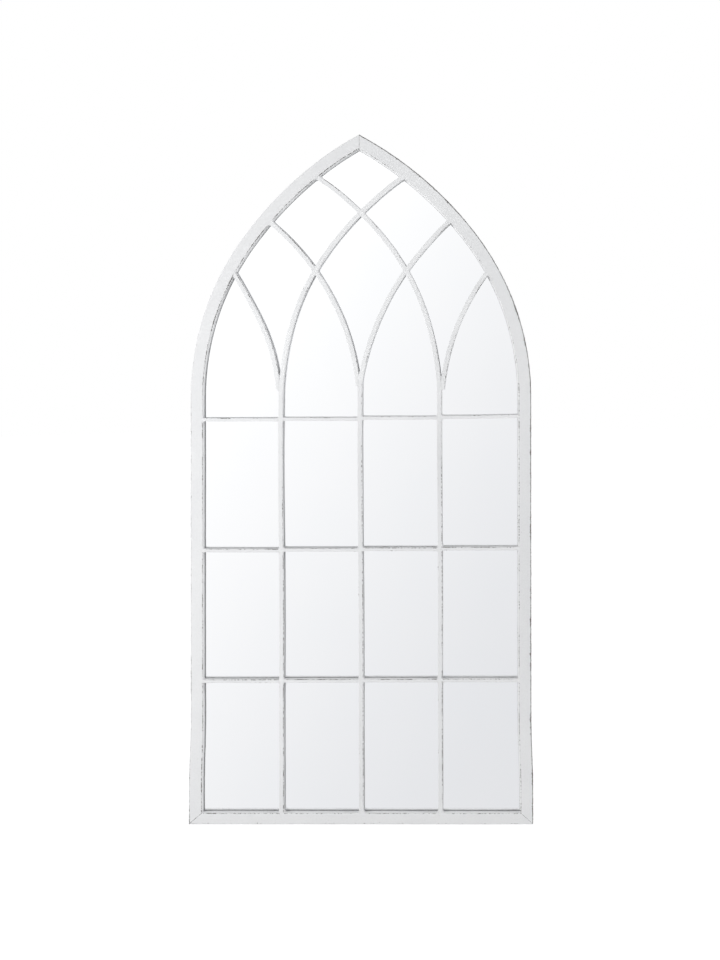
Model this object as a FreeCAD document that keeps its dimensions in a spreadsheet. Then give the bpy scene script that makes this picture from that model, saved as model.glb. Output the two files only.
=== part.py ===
import FreeCAD
import Part
import Sketcher
import math
import os

# Pointed-arch wall mirror in the form of a welded iron window.
# Frame: +Z up, front faces -Y, origin at the middle of the bottom face of the bounding box.
# All sizes are in millimetres and degrees.

SIZES = {
    # outer frame, a folded channel open at the back
    "frame_width": 606.0,
    "frame_depth": 30.0,
    "stile_height": 759.0,
    "lower_arch_radius": 478.0,
    "upper_arch_radius": 640.0,
    "knee_angle": 36.0,
    "foot_splay": 3.4,
    "foot_height": 44.0,
    "splay_height": 160.0,
    "stile_face": 22.0,
    "rail_face": 18.0,
    "ledge_width": 3.2,
    "ledge_setback": 12.0,
    "sheet_metal": 1.5,
    # window bars
    "mullion_width": 8.0,
    "mullion_drop": 5.0,
    "mullion_arc_radius": 465.0,
    "centre_bend_rise": 20.0,
    "centre_bend_radius": 107.0,
    "centre_bend_angle": 11.1,
    "centre_arc_radius": 484.0,
    "outer_arc_radius": 430.0,
    "outer_arc_rise": 13.0,
    "outer_arc_step": 4.6,
    "outer_arc_lean": 5.6,
    "inner_arc_radius": 434.0,
    "inner_arc_rise": 21.0,
    "inner_arc_step": 3.7,
    "inner_arc_lean": 6.2,
    "cross_bar_width": 6.0,
    "first_row_height": 254.5,
    "top_row_drop": 38.5,
    "middle_row_rise": 1.1,
    "top_row_rise": 1.2,
    # mirror and its backing
    "glass_thickness": 3.0,
    "board_thickness": 5.0,
    "edge_clearance": 1.0,
    # bent tabs and screws that hold the backing
    "clip_width": 14.0,
    "clip_reach": 12.0,
    "clip_leg": 5.0,
    "clip_metal": 1.2,
    "clip_bend": 1.0,
    "screw_inset": 7.0,
    "screw_radius": 1.4,
    "screw_grip": 4.0,
    "screw_head_radius": 2.8,
    "screw_head_height": 1.6,
    "screw_fit": 0.1,
    # keyhole hanger brackets
    "hanger_drop": 59.0,
    "hanger_length": 60.0,
    "hanger_reach": 24.0,
    "hanger_metal": 2.0,
    "hanger_leg": 6.0,
    "hanger_corner": 5.0,
    "keyhole_inset": 14.0,
    "keyhole_radius": 5.0,
    "keyhole_slot_radius": 2.5,
    "keyhole_drop": 14.0,
    # how far a cutting tool runs past what it cuts
    "overrun": 10.0,
}

# values that follow from the sizes above
DERIVED = {
    "half_width": "=frame_width / 2",
    "front": "=-frame_depth / 2",
    "back": "=frame_depth / 2",
    "ledge_front": "=front + ledge_setback",
    "glass_front": "=ledge_front + sheet_metal",
    "board_front": "=glass_front + glass_thickness",
    "board_back": "=board_front + board_thickness",
    "foot_edge": "=half_width + foot_splay",
    "splay_top": "=foot_height + splay_height",
    "splay_radius": "=(splay_height^2 + foot_splay^2) / (4 * foot_splay)",
    "lower_centre_x": "=half_width - lower_arch_radius",
    "knee_height": "=stile_height + lower_arch_radius * sin(knee_angle)",
    "upper_centre_x": "=lower_centre_x - (upper_arch_radius - lower_arch_radius) * cos(knee_angle)",
    "upper_centre_z": "=stile_height - (upper_arch_radius - lower_arch_radius) * sin(knee_angle)",
    "apex_height": "=upper_centre_z + sqrt(upper_arch_radius^2 - upper_centre_x^2)",
    "mullion_pitch": "=(half_width - stile_face) / 2",
    "mullion_spring": "=stile_height - mullion_drop",
    "centre_bend_start": "=stile_height + centre_bend_rise",
    "outer_arc_foot": "=stile_height + outer_arc_rise",
    "inner_arc_foot": "=stile_height + inner_arc_rise",
    "row_pitch": "=(stile_height - top_row_drop - first_row_height) / 2",
    "hanger_height": "=stile_height - hanger_drop",
    "bar_half": "=mullion_width / 2",
    "mullion_arc_x": "=mullion_arc_radius - mullion_pitch",
    "plate_inset": "=sheet_metal + edge_clearance",
    "wall_inside": "=half_width - sheet_metal",
    "bend_end_height": "=centre_bend_start + centre_bend_radius * sin(centre_bend_angle)",
}

# where the clips sit: shares of the stile's height, of the rail's half width, of the knee angle
STILE_CLIP_SHARES = (0.27, 0.54, 0.81)
RAIL_CLIP_SHARES = (-0.5, 0.5)
ARCH_CLIP_SHARES = (0.35, 1.1)

# how far the bent bars are drawn past the frame before they are trimmed, in mullion pitches
BAR_REACH_SHARE = 1.0
CENTRE_REACH_SHARE = 1.5
OUTER_REACH_SHARE = 1.9
INNER_REACH_SHARE = 1.4

# how far a mitre cut runs past the joint, in widths of what it cuts
MITRE_START_SHARE = 0.5
MITRE_END_SHARE = 1.5

BAYS = 4
ROWS = ("bottom", "middle", "top")

doc = FreeCAD.newDocument("wall_mirror")
sheet = doc.addObject("Spreadsheet::Sheet", "Sizes")
for row, (alias, content) in enumerate(list(SIZES.items()) + list(DERIVED.items()), 1):
    sheet.set("A%d" % row, alias)
    sheet.set("B%d" % row, str(content))
    sheet.setAlias("B%d" % row, alias)
doc.recompute()

nodes = {}


def size(alias):
    return float(sheet.get(alias))


def cell(alias):
    return "Sizes." + alias


def add_node(name, obj):
    obj.Label = name
    nodes[name] = obj
    return obj


# Sketch helpers

def new_body(name):
    return doc.addObject("PartDesign::Body", name)


def new_sketch(body, name, role, offset=None):
    sketch = body.newObject("Sketcher::SketchObject", name)
    plane = [f for f in body.Origin.OriginFeatures if f.Role == role][0]
    sketch.AttachmentSupport = [(plane, "")]
    sketch.MapMode = "FlatFace"
    if offset:
        sketch.setExpression("AttachmentOffset.Base.z", offset)
    return sketch


def fix(sketch, kind, formula, start_value, *where):
    index = sketch.addConstraint(Sketcher.Constraint(kind, *where, start_value))
    sketch.setExpression("Constraints[%d]" % index, formula)


def fix_x(sketch, line, end, formula, start_value):
    fix(sketch, "DistanceX", formula, start_value, -1, 1, line, end)


def fix_y(sketch, line, end, formula, start_value):
    fix(sketch, "DistanceY", formula, start_value, -1, 1, line, end)


def relate(sketch, kind, *where):
    sketch.addConstraint(Sketcher.Constraint(kind, *where))


def add_line(sketch, start, end):
    a = FreeCAD.Vector(start[0], start[1], 0)
    b = FreeCAD.Vector(end[0], end[1], 0)
    return sketch.addGeometry(Part.LineSegment(a, b), False)


def circle(centre, radius):
    return Part.Circle(FreeCAD.Vector(centre[0], centre[1], 0), FreeCAD.Vector(0, 0, 1), radius)


def add_arc(sketch, centre, radius, low_angle, high_angle):
    return sketch.addGeometry(Part.ArcOfCircle(circle(centre, radius), low_angle, high_angle), False)


def add_circle(sketch, x, y, radius):
    """A whole circle; the centre and the radius are formulas with their present values."""
    ring = sketch.addGeometry(circle((x[1], y[1]), radius[1]), False)
    fix_x(sketch, ring, 3, *x)
    fix_y(sketch, ring, 3, *y)
    fix(sketch, "Radius", *radius, ring)


def polygon(sketch, corners):
    """Closed outline; each corner is a pair of formulas with their present values."""
    points = [(x[1], y[1]) for x, y in corners]
    count = len(points)
    lines = [add_line(sketch, points[i], points[(i + 1) % count]) for i in range(count)]
    for i in range(count):
        relate(sketch, "Coincident", lines[i], 2, lines[(i + 1) % count], 1)
    for line, (x, y) in zip(lines, corners):
        fix_x(sketch, line, 1, x[0], x[1])
        fix_y(sketch, line, 1, y[0], y[1])


def named(alias, sign=1):
    """A formula and its value for one cell, or its negative."""
    return (cell(alias) if sign > 0 else "-" + cell(alias), sign * size(alias))


def plus(*terms):
    """The sum of such pairs."""
    return (" + ".join("(%s)" % t[0] for t in terms), sum(t[1] for t in terms))


def times(term, number):
    return ("(%s) * %r" % (term[0], number), term[1] * number)


ZERO = ("0", 0.0)


# Solid helpers

def pad(body, name, sketch, length, midplane=False, reverse=False):
    feature = body.newObject("PartDesign::Pad", name)
    feature.Profile = sketch
    feature.setExpression("Length", length)
    feature.Midplane = midplane
    feature.Reversed = reverse
    body.Tip = feature
    return feature


def pocket_through(body, name, sketch):
    feature = body.newObject("PartDesign::Pocket", name)
    feature.Profile = sketch
    feature.Type = "ThroughAll"
    feature.Midplane = True
    body.Tip = feature
    return feature


def sweep(body, name, profile, path, edges):
    feature = body.newObject("PartDesign::AdditivePipe", name)
    feature.Profile = profile
    feature.Spine = (path, ["Edge%d" % (i + 1) for i in range(edges)])
    body.Tip = feature
    return feature


def place(obj, x, y, z):
    for axis, formula in zip("xyz", (x, y, z)):
        obj.setExpression("Placement.Base." + axis, formula)


def box(name, x, y, z, length, width, height):
    obj = doc.addObject("Part::Box", name)
    place(obj, x, y, z)
    obj.setExpression("Length", length)
    obj.setExpression("Width", width)
    obj.setExpression("Height", height)
    return obj


def disc(name, x, z, radius):
    """A cylinder through the whole depth, its axis along Y."""
    obj = doc.addObject("Part::Cylinder", name)
    obj.Placement.Rotation = FreeCAD.Rotation(FreeCAD.Vector(1, 0, 0), 90)
    place(obj, x, cell("back"), z)
    obj.setExpression("Radius", radius)
    obj.setExpression("Height", cell("frame_depth"))
    return obj


def cut(name, base, tool):
    obj = doc.addObject("Part::Cut", name)
    obj.Base = base
    obj.Tool = tool
    return obj


def common(name, base, tool):
    obj = doc.addObject("Part::Common", name)
    obj.Base = base
    obj.Tool = tool
    return obj


def mirrored(name, source):
    obj = doc.addObject("Part::Mirroring", name)
    obj.Source = source
    obj.Normal = FreeCAD.Vector(1, 0, 0)
    return obj


# Outer frame

def channel_corners(face):
    """Folded channel: outer wall, face, inner wall and the ledge that the glass lies against.

    Each corner is its distance in from the outer edge, then its depth.
    """
    metal, rim = named("sheet_metal"), named(face)
    rim_inside, lip = plus(rim, times(metal, -1)), plus(rim, named("ledge_width"))
    front_inside = plus(named("front"), metal)
    return [
        (ZERO, named("front")),
        (rim, named("front")),
        (rim, named("ledge_front")),
        (lip, named("ledge_front")),
        (lip, named("glass_front")),
        (rim_inside, named("glass_front")),
        (rim_inside, front_inside),
        (metal, front_inside),
        (metal, named("back")),
        (ZERO, named("back")),
    ]


def arch_path(sketch):
    """The outer edge from foot to apex: foot, a slight double curve inwards, stile, two arcs."""
    half, edge, splay = size("half_width"), size("foot_edge"), size("splay_radius")
    foot_top, splay_top = size("foot_height"), size("splay_top")
    lean = math.asin(size("splay_height") / (2 * splay))
    knee = math.radians(size("knee_angle"))
    apex = math.acos(-size("upper_centre_x") / size("upper_arch_radius"))
    foot = add_line(sketch, (edge, 0), (edge, foot_top))
    inward = add_arc(sketch, (edge - splay, foot_top), splay, 0, lean)
    upright = add_arc(sketch, (half + splay, splay_top), splay, math.pi, math.pi + lean)
    stile = add_line(sketch, (half, splay_top), (half, size("stile_height")))
    lower_centre = (size("lower_centre_x"), size("stile_height"))
    upper_centre = (size("upper_centre_x"), size("upper_centre_z"))
    lower = add_arc(sketch, lower_centre, size("lower_arch_radius"), 0, knee)
    upper = add_arc(sketch, upper_centre, size("upper_arch_radius"), knee, apex)
    relate(sketch, "PointOnObject", foot, 1, -1)
    relate(sketch, "Vertical", foot)
    relate(sketch, "Tangent", foot, 2, inward, 1)
    relate(sketch, "Tangent", inward, 2, upright, 2)
    relate(sketch, "Equal", inward, upright)
    relate(sketch, "Tangent", upright, 1, stile, 1)
    relate(sketch, "Vertical", stile)
    relate(sketch, "Tangent", stile, 2, lower, 1)
    relate(sketch, "Tangent", lower, 2, upper, 1)
    relate(sketch, "PointOnObject", upper, 2, -2)
    fix_x(sketch, foot, 1, *named("foot_edge"))
    fix_y(sketch, foot, 2, *named("foot_height"))
    fix_x(sketch, stile, 1, *named("half_width"))
    fix_y(sketch, stile, 1, *named("splay_top"))
    fix_y(sketch, stile, 2, *named("stile_height"))
    fix(sketch, "Radius", cell("lower_arch_radius"), size("lower_arch_radius"), lower)
    fix_y(sketch, lower, 2, *named("knee_height"))
    fix(sketch, "Radius", cell("upper_arch_radius"), size("upper_arch_radius"), upper)
    return 6


def mitre_line():
    """From outside the frame's lower corner to the opening's, then on at 45 degrees past the ledge."""
    edge, run, rise = named("foot_edge"), named("stile_face"), named("rail_face")
    past = times(named("ledge_width"), MITRE_END_SHARE)
    return [
        (plus(edge, times(run, MITRE_START_SHARE)), times(rise, -MITRE_START_SHARE)),
        (plus(edge, times(run, -1)), rise),
        (plus(edge, times(run, -1), times(past, -1)), plus(rise, past)),
    ]


def right_stile():
    body = new_body("right_stile_body")
    path = new_sketch(body, "stile_path", "XZ_Plane")
    edges = arch_path(path)
    section = new_sketch(body, "stile_section", "XY_Plane")
    across = channel_corners("stile_face")
    polygon(section, [(plus(named("foot_edge"), times(inward, -1)), depth) for inward, depth in across])
    sweep(body, "stile_sweep", section, path, edges)
    cuts = new_sketch(body, "stile_mitres", "XZ_Plane")
    low, bend, high = mitre_line()
    polygon(cuts, [low, bend, high, (high[0], low[1])])
    reach = times(named("stile_face"), -MITRE_END_SHARE)
    knee, top = named("knee_height"), plus(named("apex_height"), named("overrun"))
    polygon(cuts, [(ZERO, knee), (ZERO, top), (reach, top), (reach, knee)])
    pocket_through(body, "stile_mitre_cuts", cuts)
    return body


def bottom_rail():
    body = new_body("bottom_rail_body")
    section = new_sketch(body, "rail_section", "YZ_Plane")
    polygon(section, [(depth, up) for up, depth in channel_corners("rail_face")])
    pad(body, "rail_pad", section, "2 * " + cell("foot_edge"), midplane=True)
    cuts = new_sketch(body, "rail_mitres", "XZ_Plane")
    low, bend, high = mitre_line()
    for side in (1, -1):
        corners = [low, bend, high, (low[0], high[1])]
        polygon(cuts, [(times(x, side), z) for x, z in corners])
    pocket_through(body, "rail_mitre_cuts", cuts)
    return body


def arch_plate(name, inset, bottom, face, thickness):
    """A flat plate of the frame's outline, drawn in by inset and standing on bottom."""
    body = new_body(name + "_body")
    sketch = new_sketch(body, name + "_half", "XZ_Plane", "-" + cell(face))
    knee = math.radians(size("knee_angle"))
    side = size("half_width") - inset[1]
    lower_radius = size("lower_arch_radius") - inset[1]
    upper_radius = size("upper_arch_radius") - inset[1]
    apex = math.acos(-size("upper_centre_x") / upper_radius)
    top = size("upper_centre_z") + upper_radius * math.sin(apex)
    base = add_line(sketch, (0, bottom[1]), (side, bottom[1]))
    edge = add_line(sketch, (side, bottom[1]), (side, size("stile_height")))
    lower = add_arc(sketch, (size("lower_centre_x"), size("stile_height")), lower_radius, 0, knee)
    upper = add_arc(sketch, (size("upper_centre_x"), size("upper_centre_z")), upper_radius, knee, apex)
    middle = add_line(sketch, (0, top), (0, bottom[1]))
    relate(sketch, "Coincident", base, 2, edge, 1)
    relate(sketch, "Horizontal", base)
    relate(sketch, "Vertical", edge)
    relate(sketch, "Tangent", edge, 2, lower, 1)
    relate(sketch, "Tangent", lower, 2, upper, 1)
    relate(sketch, "Coincident", upper, 2, middle, 1)
    relate(sketch, "Coincident", middle, 2, base, 1)
    relate(sketch, "PointOnObject", middle, 1, -2)
    relate(sketch, "PointOnObject", middle, 2, -2)
    fix_y(sketch, base, 1, *bottom)
    fix_x(sketch, edge, 1, *plus(named("half_width"), times(inset, -1)))
    fix_y(sketch, edge, 2, *named("stile_height"))
    fix(sketch, "Radius", "%s - (%s)" % (cell("lower_arch_radius"), inset[0]), lower_radius, lower)
    knee_z = size("stile_height") + lower_radius * math.sin(knee)
    knee_formula = "%s + (%s - (%s)) * sin(%s)"
    knee_cells = (cell("stile_height"), cell("lower_arch_radius"), inset[0], cell("knee_angle"))
    fix_y(sketch, lower, 2, knee_formula % knee_cells, knee_z)
    fix(sketch, "Radius", "%s - (%s)" % (cell("upper_arch_radius"), inset[0]), upper_radius, upper)
    half = pad(body, name + "_pad", sketch, thickness, reverse=True)
    both = body.newObject("PartDesign::Mirrored", name + "_mirror")
    both.Originals = [half]
    both.MirrorPlane = (sketch, ["V_Axis"])
    body.Tip = both
    return body


# Window bars

def bar_section(body, name, x, z):
    """Square-edged bar: its face flush with the frame's, its back on the ledge."""
    sketch = new_sketch(body, name + "_section", "XY_Plane", z)
    left, right = plus(x, named("bar_half", -1)), plus(x, named("bar_half"))
    front, behind = named("front"), named("ledge_front")
    polygon(sketch, [(left, front), (right, front), (right, behind), (left, behind)])
    return sketch


def left_bar():
    """The left mullion's whole bar: straight, then one arc to the right across the head."""
    body = new_body("left_bar_body")
    path = new_sketch(body, "left_bar_path", "XZ_Plane")
    x, spring, radius = -size("mullion_pitch"), size("mullion_spring"), size("mullion_arc_radius")
    reach = size("mullion_pitch") * BAR_REACH_SHARE
    end_angle = math.acos((reach - size("mullion_arc_x")) / radius)
    straight = add_line(path, (x, size("rail_face")), (x, spring))
    arc = add_arc(path, (size("mullion_arc_x"), spring), radius, end_angle, math.pi)
    relate(path, "Vertical", straight)
    relate(path, "Tangent", straight, 2, arc, 2)
    fix_x(path, straight, 1, *named("mullion_pitch", -1))
    fix_y(path, straight, 1, *named("rail_face"))
    fix_y(path, straight, 2, *named("mullion_spring"))
    fix(path, "Radius", cell("mullion_arc_radius"), radius, arc)
    fix_x(path, arc, 1, *times(named("mullion_pitch"), BAR_REACH_SHARE))
    section = bar_section(body, "left_bar", named("mullion_pitch", -1), cell("rail_face"))
    sweep(body, "left_bar_sweep", section, path, 2)
    return body


def centre_bar():
    """The centre mullion's whole bar: straight, a short bend, then an arc to the right."""
    body = new_body("centre_bar_body")
    path = new_sketch(body, "centre_bar_path", "XZ_Plane")
    start, bend = size("centre_bend_start"), size("centre_bend_radius")
    lean, radius = math.radians(size("centre_bend_angle")), size("centre_arc_radius")
    reach = size("mullion_pitch") * CENTRE_REACH_SHARE
    centre_x = bend + (radius - bend) * math.cos(lean)
    centre_z = start - (radius - bend) * math.sin(lean)
    end_angle = math.acos((reach - centre_x) / radius)
    straight = add_line(path, (0, size("rail_face")), (0, start))
    curve = add_arc(path, (bend, start), bend, math.pi - lean, math.pi)
    arc = add_arc(path, (centre_x, centre_z), radius, end_angle, math.pi - lean)
    relate(path, "Vertical", straight)
    relate(path, "PointOnObject", straight, 1, -2)
    relate(path, "Tangent", straight, 2, curve, 2)
    relate(path, "Tangent", curve, 1, arc, 2)
    fix_y(path, straight, 1, *named("rail_face"))
    fix_y(path, straight, 2, *named("centre_bend_start"))
    fix(path, "Radius", cell("centre_bend_radius"), bend, curve)
    fix_y(path, curve, 1, *named("bend_end_height"))
    fix(path, "Radius", cell("centre_arc_radius"), radius, arc)
    fix_x(path, arc, 1, *times(named("mullion_pitch"), CENTRE_REACH_SHARE))
    section = bar_section(body, "centre_bar", ZERO, cell("rail_face"))
    sweep(body, "centre_bar_sweep", section, path, 3)
    return body


def arc_bar(name, mullion_x, reach_share):
    """One arc that starts against a mullion's left side and runs up to the left."""
    body = new_body(name + "_body")
    path = new_sketch(body, name + "_path", "XZ_Plane")
    foot_x = plus(mullion_x, named(name + "_step", -1))
    foot_z, radius, lean = size(name + "_foot"), size(name + "_radius"), math.radians(size(name + "_lean"))
    centre_x = foot_x[1] - radius * math.cos(lean)
    centre_z = foot_z - radius * math.sin(lean)
    reach = times(named("mullion_pitch"), -reach_share)
    end_angle = math.acos((reach[1] - centre_x) / radius)
    arc = add_arc(path, (centre_x, centre_z), radius, lean, end_angle)
    fix_x(path, arc, 1, *foot_x)
    fix_y(path, arc, 1, *named(name + "_foot"))
    fix(path, "Radius", cell(name + "_radius"), radius, arc)
    centre_cells = (cell(name + "_foot"), cell(name + "_radius"), cell(name + "_lean"))
    fix_y(path, arc, 3, "%s - %s * sin(%s)" % centre_cells, centre_z)
    fix_x(path, arc, 2, *reach)
    section = bar_section(body, name, foot_x, cell(name + "_foot"))
    sweep(body, name + "_sweep", section, path, 1)
    return body


def tracery():
    """The bars of the arched head, cut where they meet and welded edge to edge."""
    opening = arch_plate("opening", named("stile_face"), named("rail_face"), "front", cell("ledge_setback"))
    head_height = "%s - %s" % (cell("apex_height"), cell("mullion_spring"))
    head_box = box("head_box", "-" + cell("half_width"), cell("front"), cell("mullion_spring"),
                   cell("frame_width"), cell("frame_depth"), head_height)
    head = common("head_space", opening, head_box)

    arc_x, spring = cell("mullion_arc_x"), cell("mullion_spring")
    inner = "%s - %s" % (cell("mullion_arc_radius"), cell("bar_half"))
    outer = "%s + %s" % (cell("mullion_arc_radius"), cell("bar_half"))
    under_right = disc("under_right_bar", "-" + arc_x, spring, inner)
    over_right = disc("over_right_bar", "-" + arc_x, spring, outer)
    under_left = disc("under_left_bar", arc_x, spring, inner)
    over_left = disc("over_left_bar", arc_x, spring, outer)
    beyond_right = cut("beyond_right_bar", head_box, under_right)

    left = left_bar()
    right = mirrored("right_bar", left)
    centre = centre_bar()
    add_node("mullion_right", common("right_bar_trimmed", right, opening))
    add_node("mullion_left", cut("left_bar_trimmed", left, beyond_right))
    mullion_centre = add_node("mullion_centre", cut("centre_bar_trimmed", centre, beyond_right))
    add_node("left_bar_tip", cut("left_tip", common("left_bar_head", left, head), over_right))
    add_node("centre_bar_tip", cut("centre_tip", common("centre_bar_head", centre, head), over_right))

    outer_bar = arc_bar("outer_arc", named("mullion_pitch", -1), OUTER_REACH_SHARE)
    outer_arc = common("outer_arc_head", outer_bar, head)
    outer_left = add_node("outer_arc_left", cut("outer_arc_scribed", outer_arc, over_left))
    add_node("outer_arc_right", mirrored("outer_arc_mirror", outer_left))

    inner_arc = common("inner_arc_head", arc_bar("inner_arc", ZERO, INNER_REACH_SHARE), head)
    lower = common("inner_arc_inside", inner_arc, under_left)
    add_node("inner_arc_lower", cut("inner_arc_scribed", lower, mullion_centre))
    add_node("inner_arc_upper", cut("inner_arc_outside", inner_arc, over_left))


def cross_bars():
    """Short bars cut between the uprights, so each bay's bar may sit a little higher than the last."""
    rises = (None, "middle_row_rise", "top_row_rise")
    for level, (row_name, rise) in enumerate(zip(ROWS, rises)):
        for bay in range(BAYS):
            left_gap = cell("bar_half") if bay > 0 else "0"
            right_gap = cell("bar_half") if bay < BAYS - 1 else "0"
            x = "%s * %d + %s" % (cell("mullion_pitch"), bay - BAYS // 2, left_gap)
            length = "%s - %s - %s" % (cell("mullion_pitch"), left_gap, right_gap)
            middle = "%s + %s * %d" % (cell("first_row_height"), cell("row_pitch"), level)
            if rise:
                middle += " + %s * %r" % (cell(rise), bay - (BAYS - 1) / 2)
            z = "%s - %s / 2" % (middle, cell("cross_bar_width"))
            name = "cross_bar_%s_%d" % (row_name, bay + 1)
            bar = box(name, x, cell("front"), z, length, cell("ledge_setback"), cell("cross_bar_width"))
            add_node(name, bar)


# Backing, clips and screws

def clip_places():
    """Points on the inside of the outer wall, each with its direction into the opening."""
    inside = size("wall_inside")
    places = []
    for share in STILE_CLIP_SHARES:
        for side in (-1, 1):
            places.append((side * inside, share * size("stile_height"), -side, 0.0))
    for share in RAIL_CLIP_SHARES:
        places.append((share * size("half_width"), size("sheet_metal"), 0.0, 1.0))
    for share in ARCH_CLIP_SHARES:
        angle = math.radians(size("knee_angle")) * share
        if share < 1:
            x, z, radius = size("lower_centre_x"), size("stile_height"), size("lower_arch_radius")
        else:
            x, z, radius = size("upper_centre_x"), size("upper_centre_z"), size("upper_arch_radius")
        # the flat leg touches the curved wall with both its ends
        radius = math.sqrt((radius - size("sheet_metal")) ** 2 - (size("clip_width") / 2) ** 2)
        for side in (-1, 1):
            px, pz = x + radius * math.cos(angle), z + radius * math.sin(angle)
            places.append((side * px, pz, -side * math.cos(angle), -math.sin(angle)))
    return places


def spread(shape):
    """One copy of a shape for each clip place; the shape's own +X points into the opening."""
    copies = []
    for x, z, dx, dz in clip_places():
        turn = math.degrees(math.atan2(-dz, dx))
        placement = FreeCAD.Placement(
            FreeCAD.Vector(x, size("board_back"), z),
            FreeCAD.Rotation(FreeCAD.Vector(0, 1, 0), turn),
        )
        copy = shape.copy()
        copy.Placement = placement.multiply(copy.Placement)
        copies.append(copy)
    return Part.makeCompound(copies)


def clip():
    """Bent tab: a flap on the board, a bend, and a leg along the frame's wall; pierced for its screw."""
    body = new_body("clip_body")
    sketch = new_sketch(body, "clip_section", "XY_Plane")
    bend, metal = named("clip_bend"), named("clip_metal")
    outside = plus(bend, metal)
    leg, reach = named("clip_leg"), named("clip_reach")
    wall_line = add_line(sketch, (0, outside[1]), (0, leg[1]))
    leg_end = add_line(sketch, (0, leg[1]), (metal[1], leg[1]))
    leg_inside = add_line(sketch, (metal[1], leg[1]), (metal[1], outside[1]))
    small = add_arc(sketch, (outside[1], outside[1]), bend[1], math.pi, 1.5 * math.pi)
    top = add_line(sketch, (outside[1], metal[1]), (reach[1], metal[1]))
    flap_end = add_line(sketch, (reach[1], metal[1]), (reach[1], 0))
    bottom = add_line(sketch, (reach[1], 0), (outside[1], 0))
    large = add_arc(sketch, (outside[1], outside[1]), outside[1], math.pi, 1.5 * math.pi)
    relate(sketch, "Coincident", wall_line, 2, leg_end, 1)
    relate(sketch, "Coincident", leg_end, 2, leg_inside, 1)
    relate(sketch, "Tangent", leg_inside, 2, small, 1)
    relate(sketch, "Tangent", small, 2, top, 1)
    relate(sketch, "Coincident", top, 2, flap_end, 1)
    relate(sketch, "Coincident", flap_end, 2, bottom, 1)
    relate(sketch, "Tangent", bottom, 2, large, 2)
    relate(sketch, "Tangent", large, 1, wall_line, 1)
    relate(sketch, "Coincident", small, 3, large, 3)
    relate(sketch, "PointOnObject", wall_line, 2, -2)
    relate(sketch, "PointOnObject", bottom, 1, -1)
    relate(sketch, "Vertical", wall_line)
    relate(sketch, "Vertical", flap_end)
    relate(sketch, "Horizontal", leg_end)
    relate(sketch, "Horizontal", bottom)
    fix(sketch, "Radius", cell("clip_bend"), bend[1], small)
    fix_x(sketch, leg_end, 2, *metal)
    fix_y(sketch, wall_line, 2, *leg)
    fix_x(sketch, flap_end, 1, *reach)
    pad(body, "clip_pad", sketch, cell("clip_width"), midplane=True)
    hole = new_sketch(body, "clip_hole", "XZ_Plane")
    add_circle(hole, named("screw_inset"), ZERO, plus(named("screw_radius"), named("screw_fit")))
    pocket_through(body, "clip_piercing", hole)
    return body


def screw():
    """Cheese-head screw, turned about its own axis; it stands in the clip's frame."""
    body = new_body("screw_body")
    sketch = new_sketch(body, "screw_profile", "XY_Plane")
    axis, shank = named("screw_inset"), plus(named("screw_inset"), named("screw_radius"))
    head = plus(named("screw_inset"), named("screw_head_radius"))
    seat, top = named("clip_metal"), plus(named("clip_metal"), named("screw_head_height"))
    tip = named("screw_grip", -1)
    polygon(sketch, [(axis, tip), (shank, tip), (shank, seat), (head, seat), (head, top), (axis, top)])
    turned = body.newObject("PartDesign::Revolution", "screw_turning")
    turned.Profile = sketch
    turned.ReferenceAxis = (sketch, ["Edge6"])
    turned.Angle = 360.0
    body.Tip = turned
    return body


def pilot():
    """The hole that the screw's shank fills in the board."""
    body = new_body("pilot_body")
    sketch = new_sketch(body, "pilot_profile", "XZ_Plane")
    add_circle(sketch, named("screw_inset"), ZERO, named("screw_radius"))
    pad(body, "pilot_pad", sketch, cell("screw_grip"))
    return body


def group(name, body):
    """A node that holds one copy of a body's shape for each clip place."""
    obj = doc.addObject("Part::Feature", name)
    obj.Shape = spread(body.Shape)
    return obj


def backing():
    inset = named("plate_inset")
    glass = arch_plate("mirror_glass", inset, inset, "glass_front", cell("glass_thickness"))
    board = arch_plate("backing_board", inset, inset, "board_front", cell("board_thickness"))
    clip_body, screw_body, pilot_body = clip(), screw(), pilot()
    doc.recompute()
    add_node("mirror_glass", glass)
    pilots = group("pilot_holes", pilot_body)
    add_node("backing_board", cut("board_drilled", board, pilots))
    add_node("retaining_clips", group("clip_group", clip_body))
    add_node("clip_screws", group("screw_group", screw_body))


# Hangers

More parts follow.
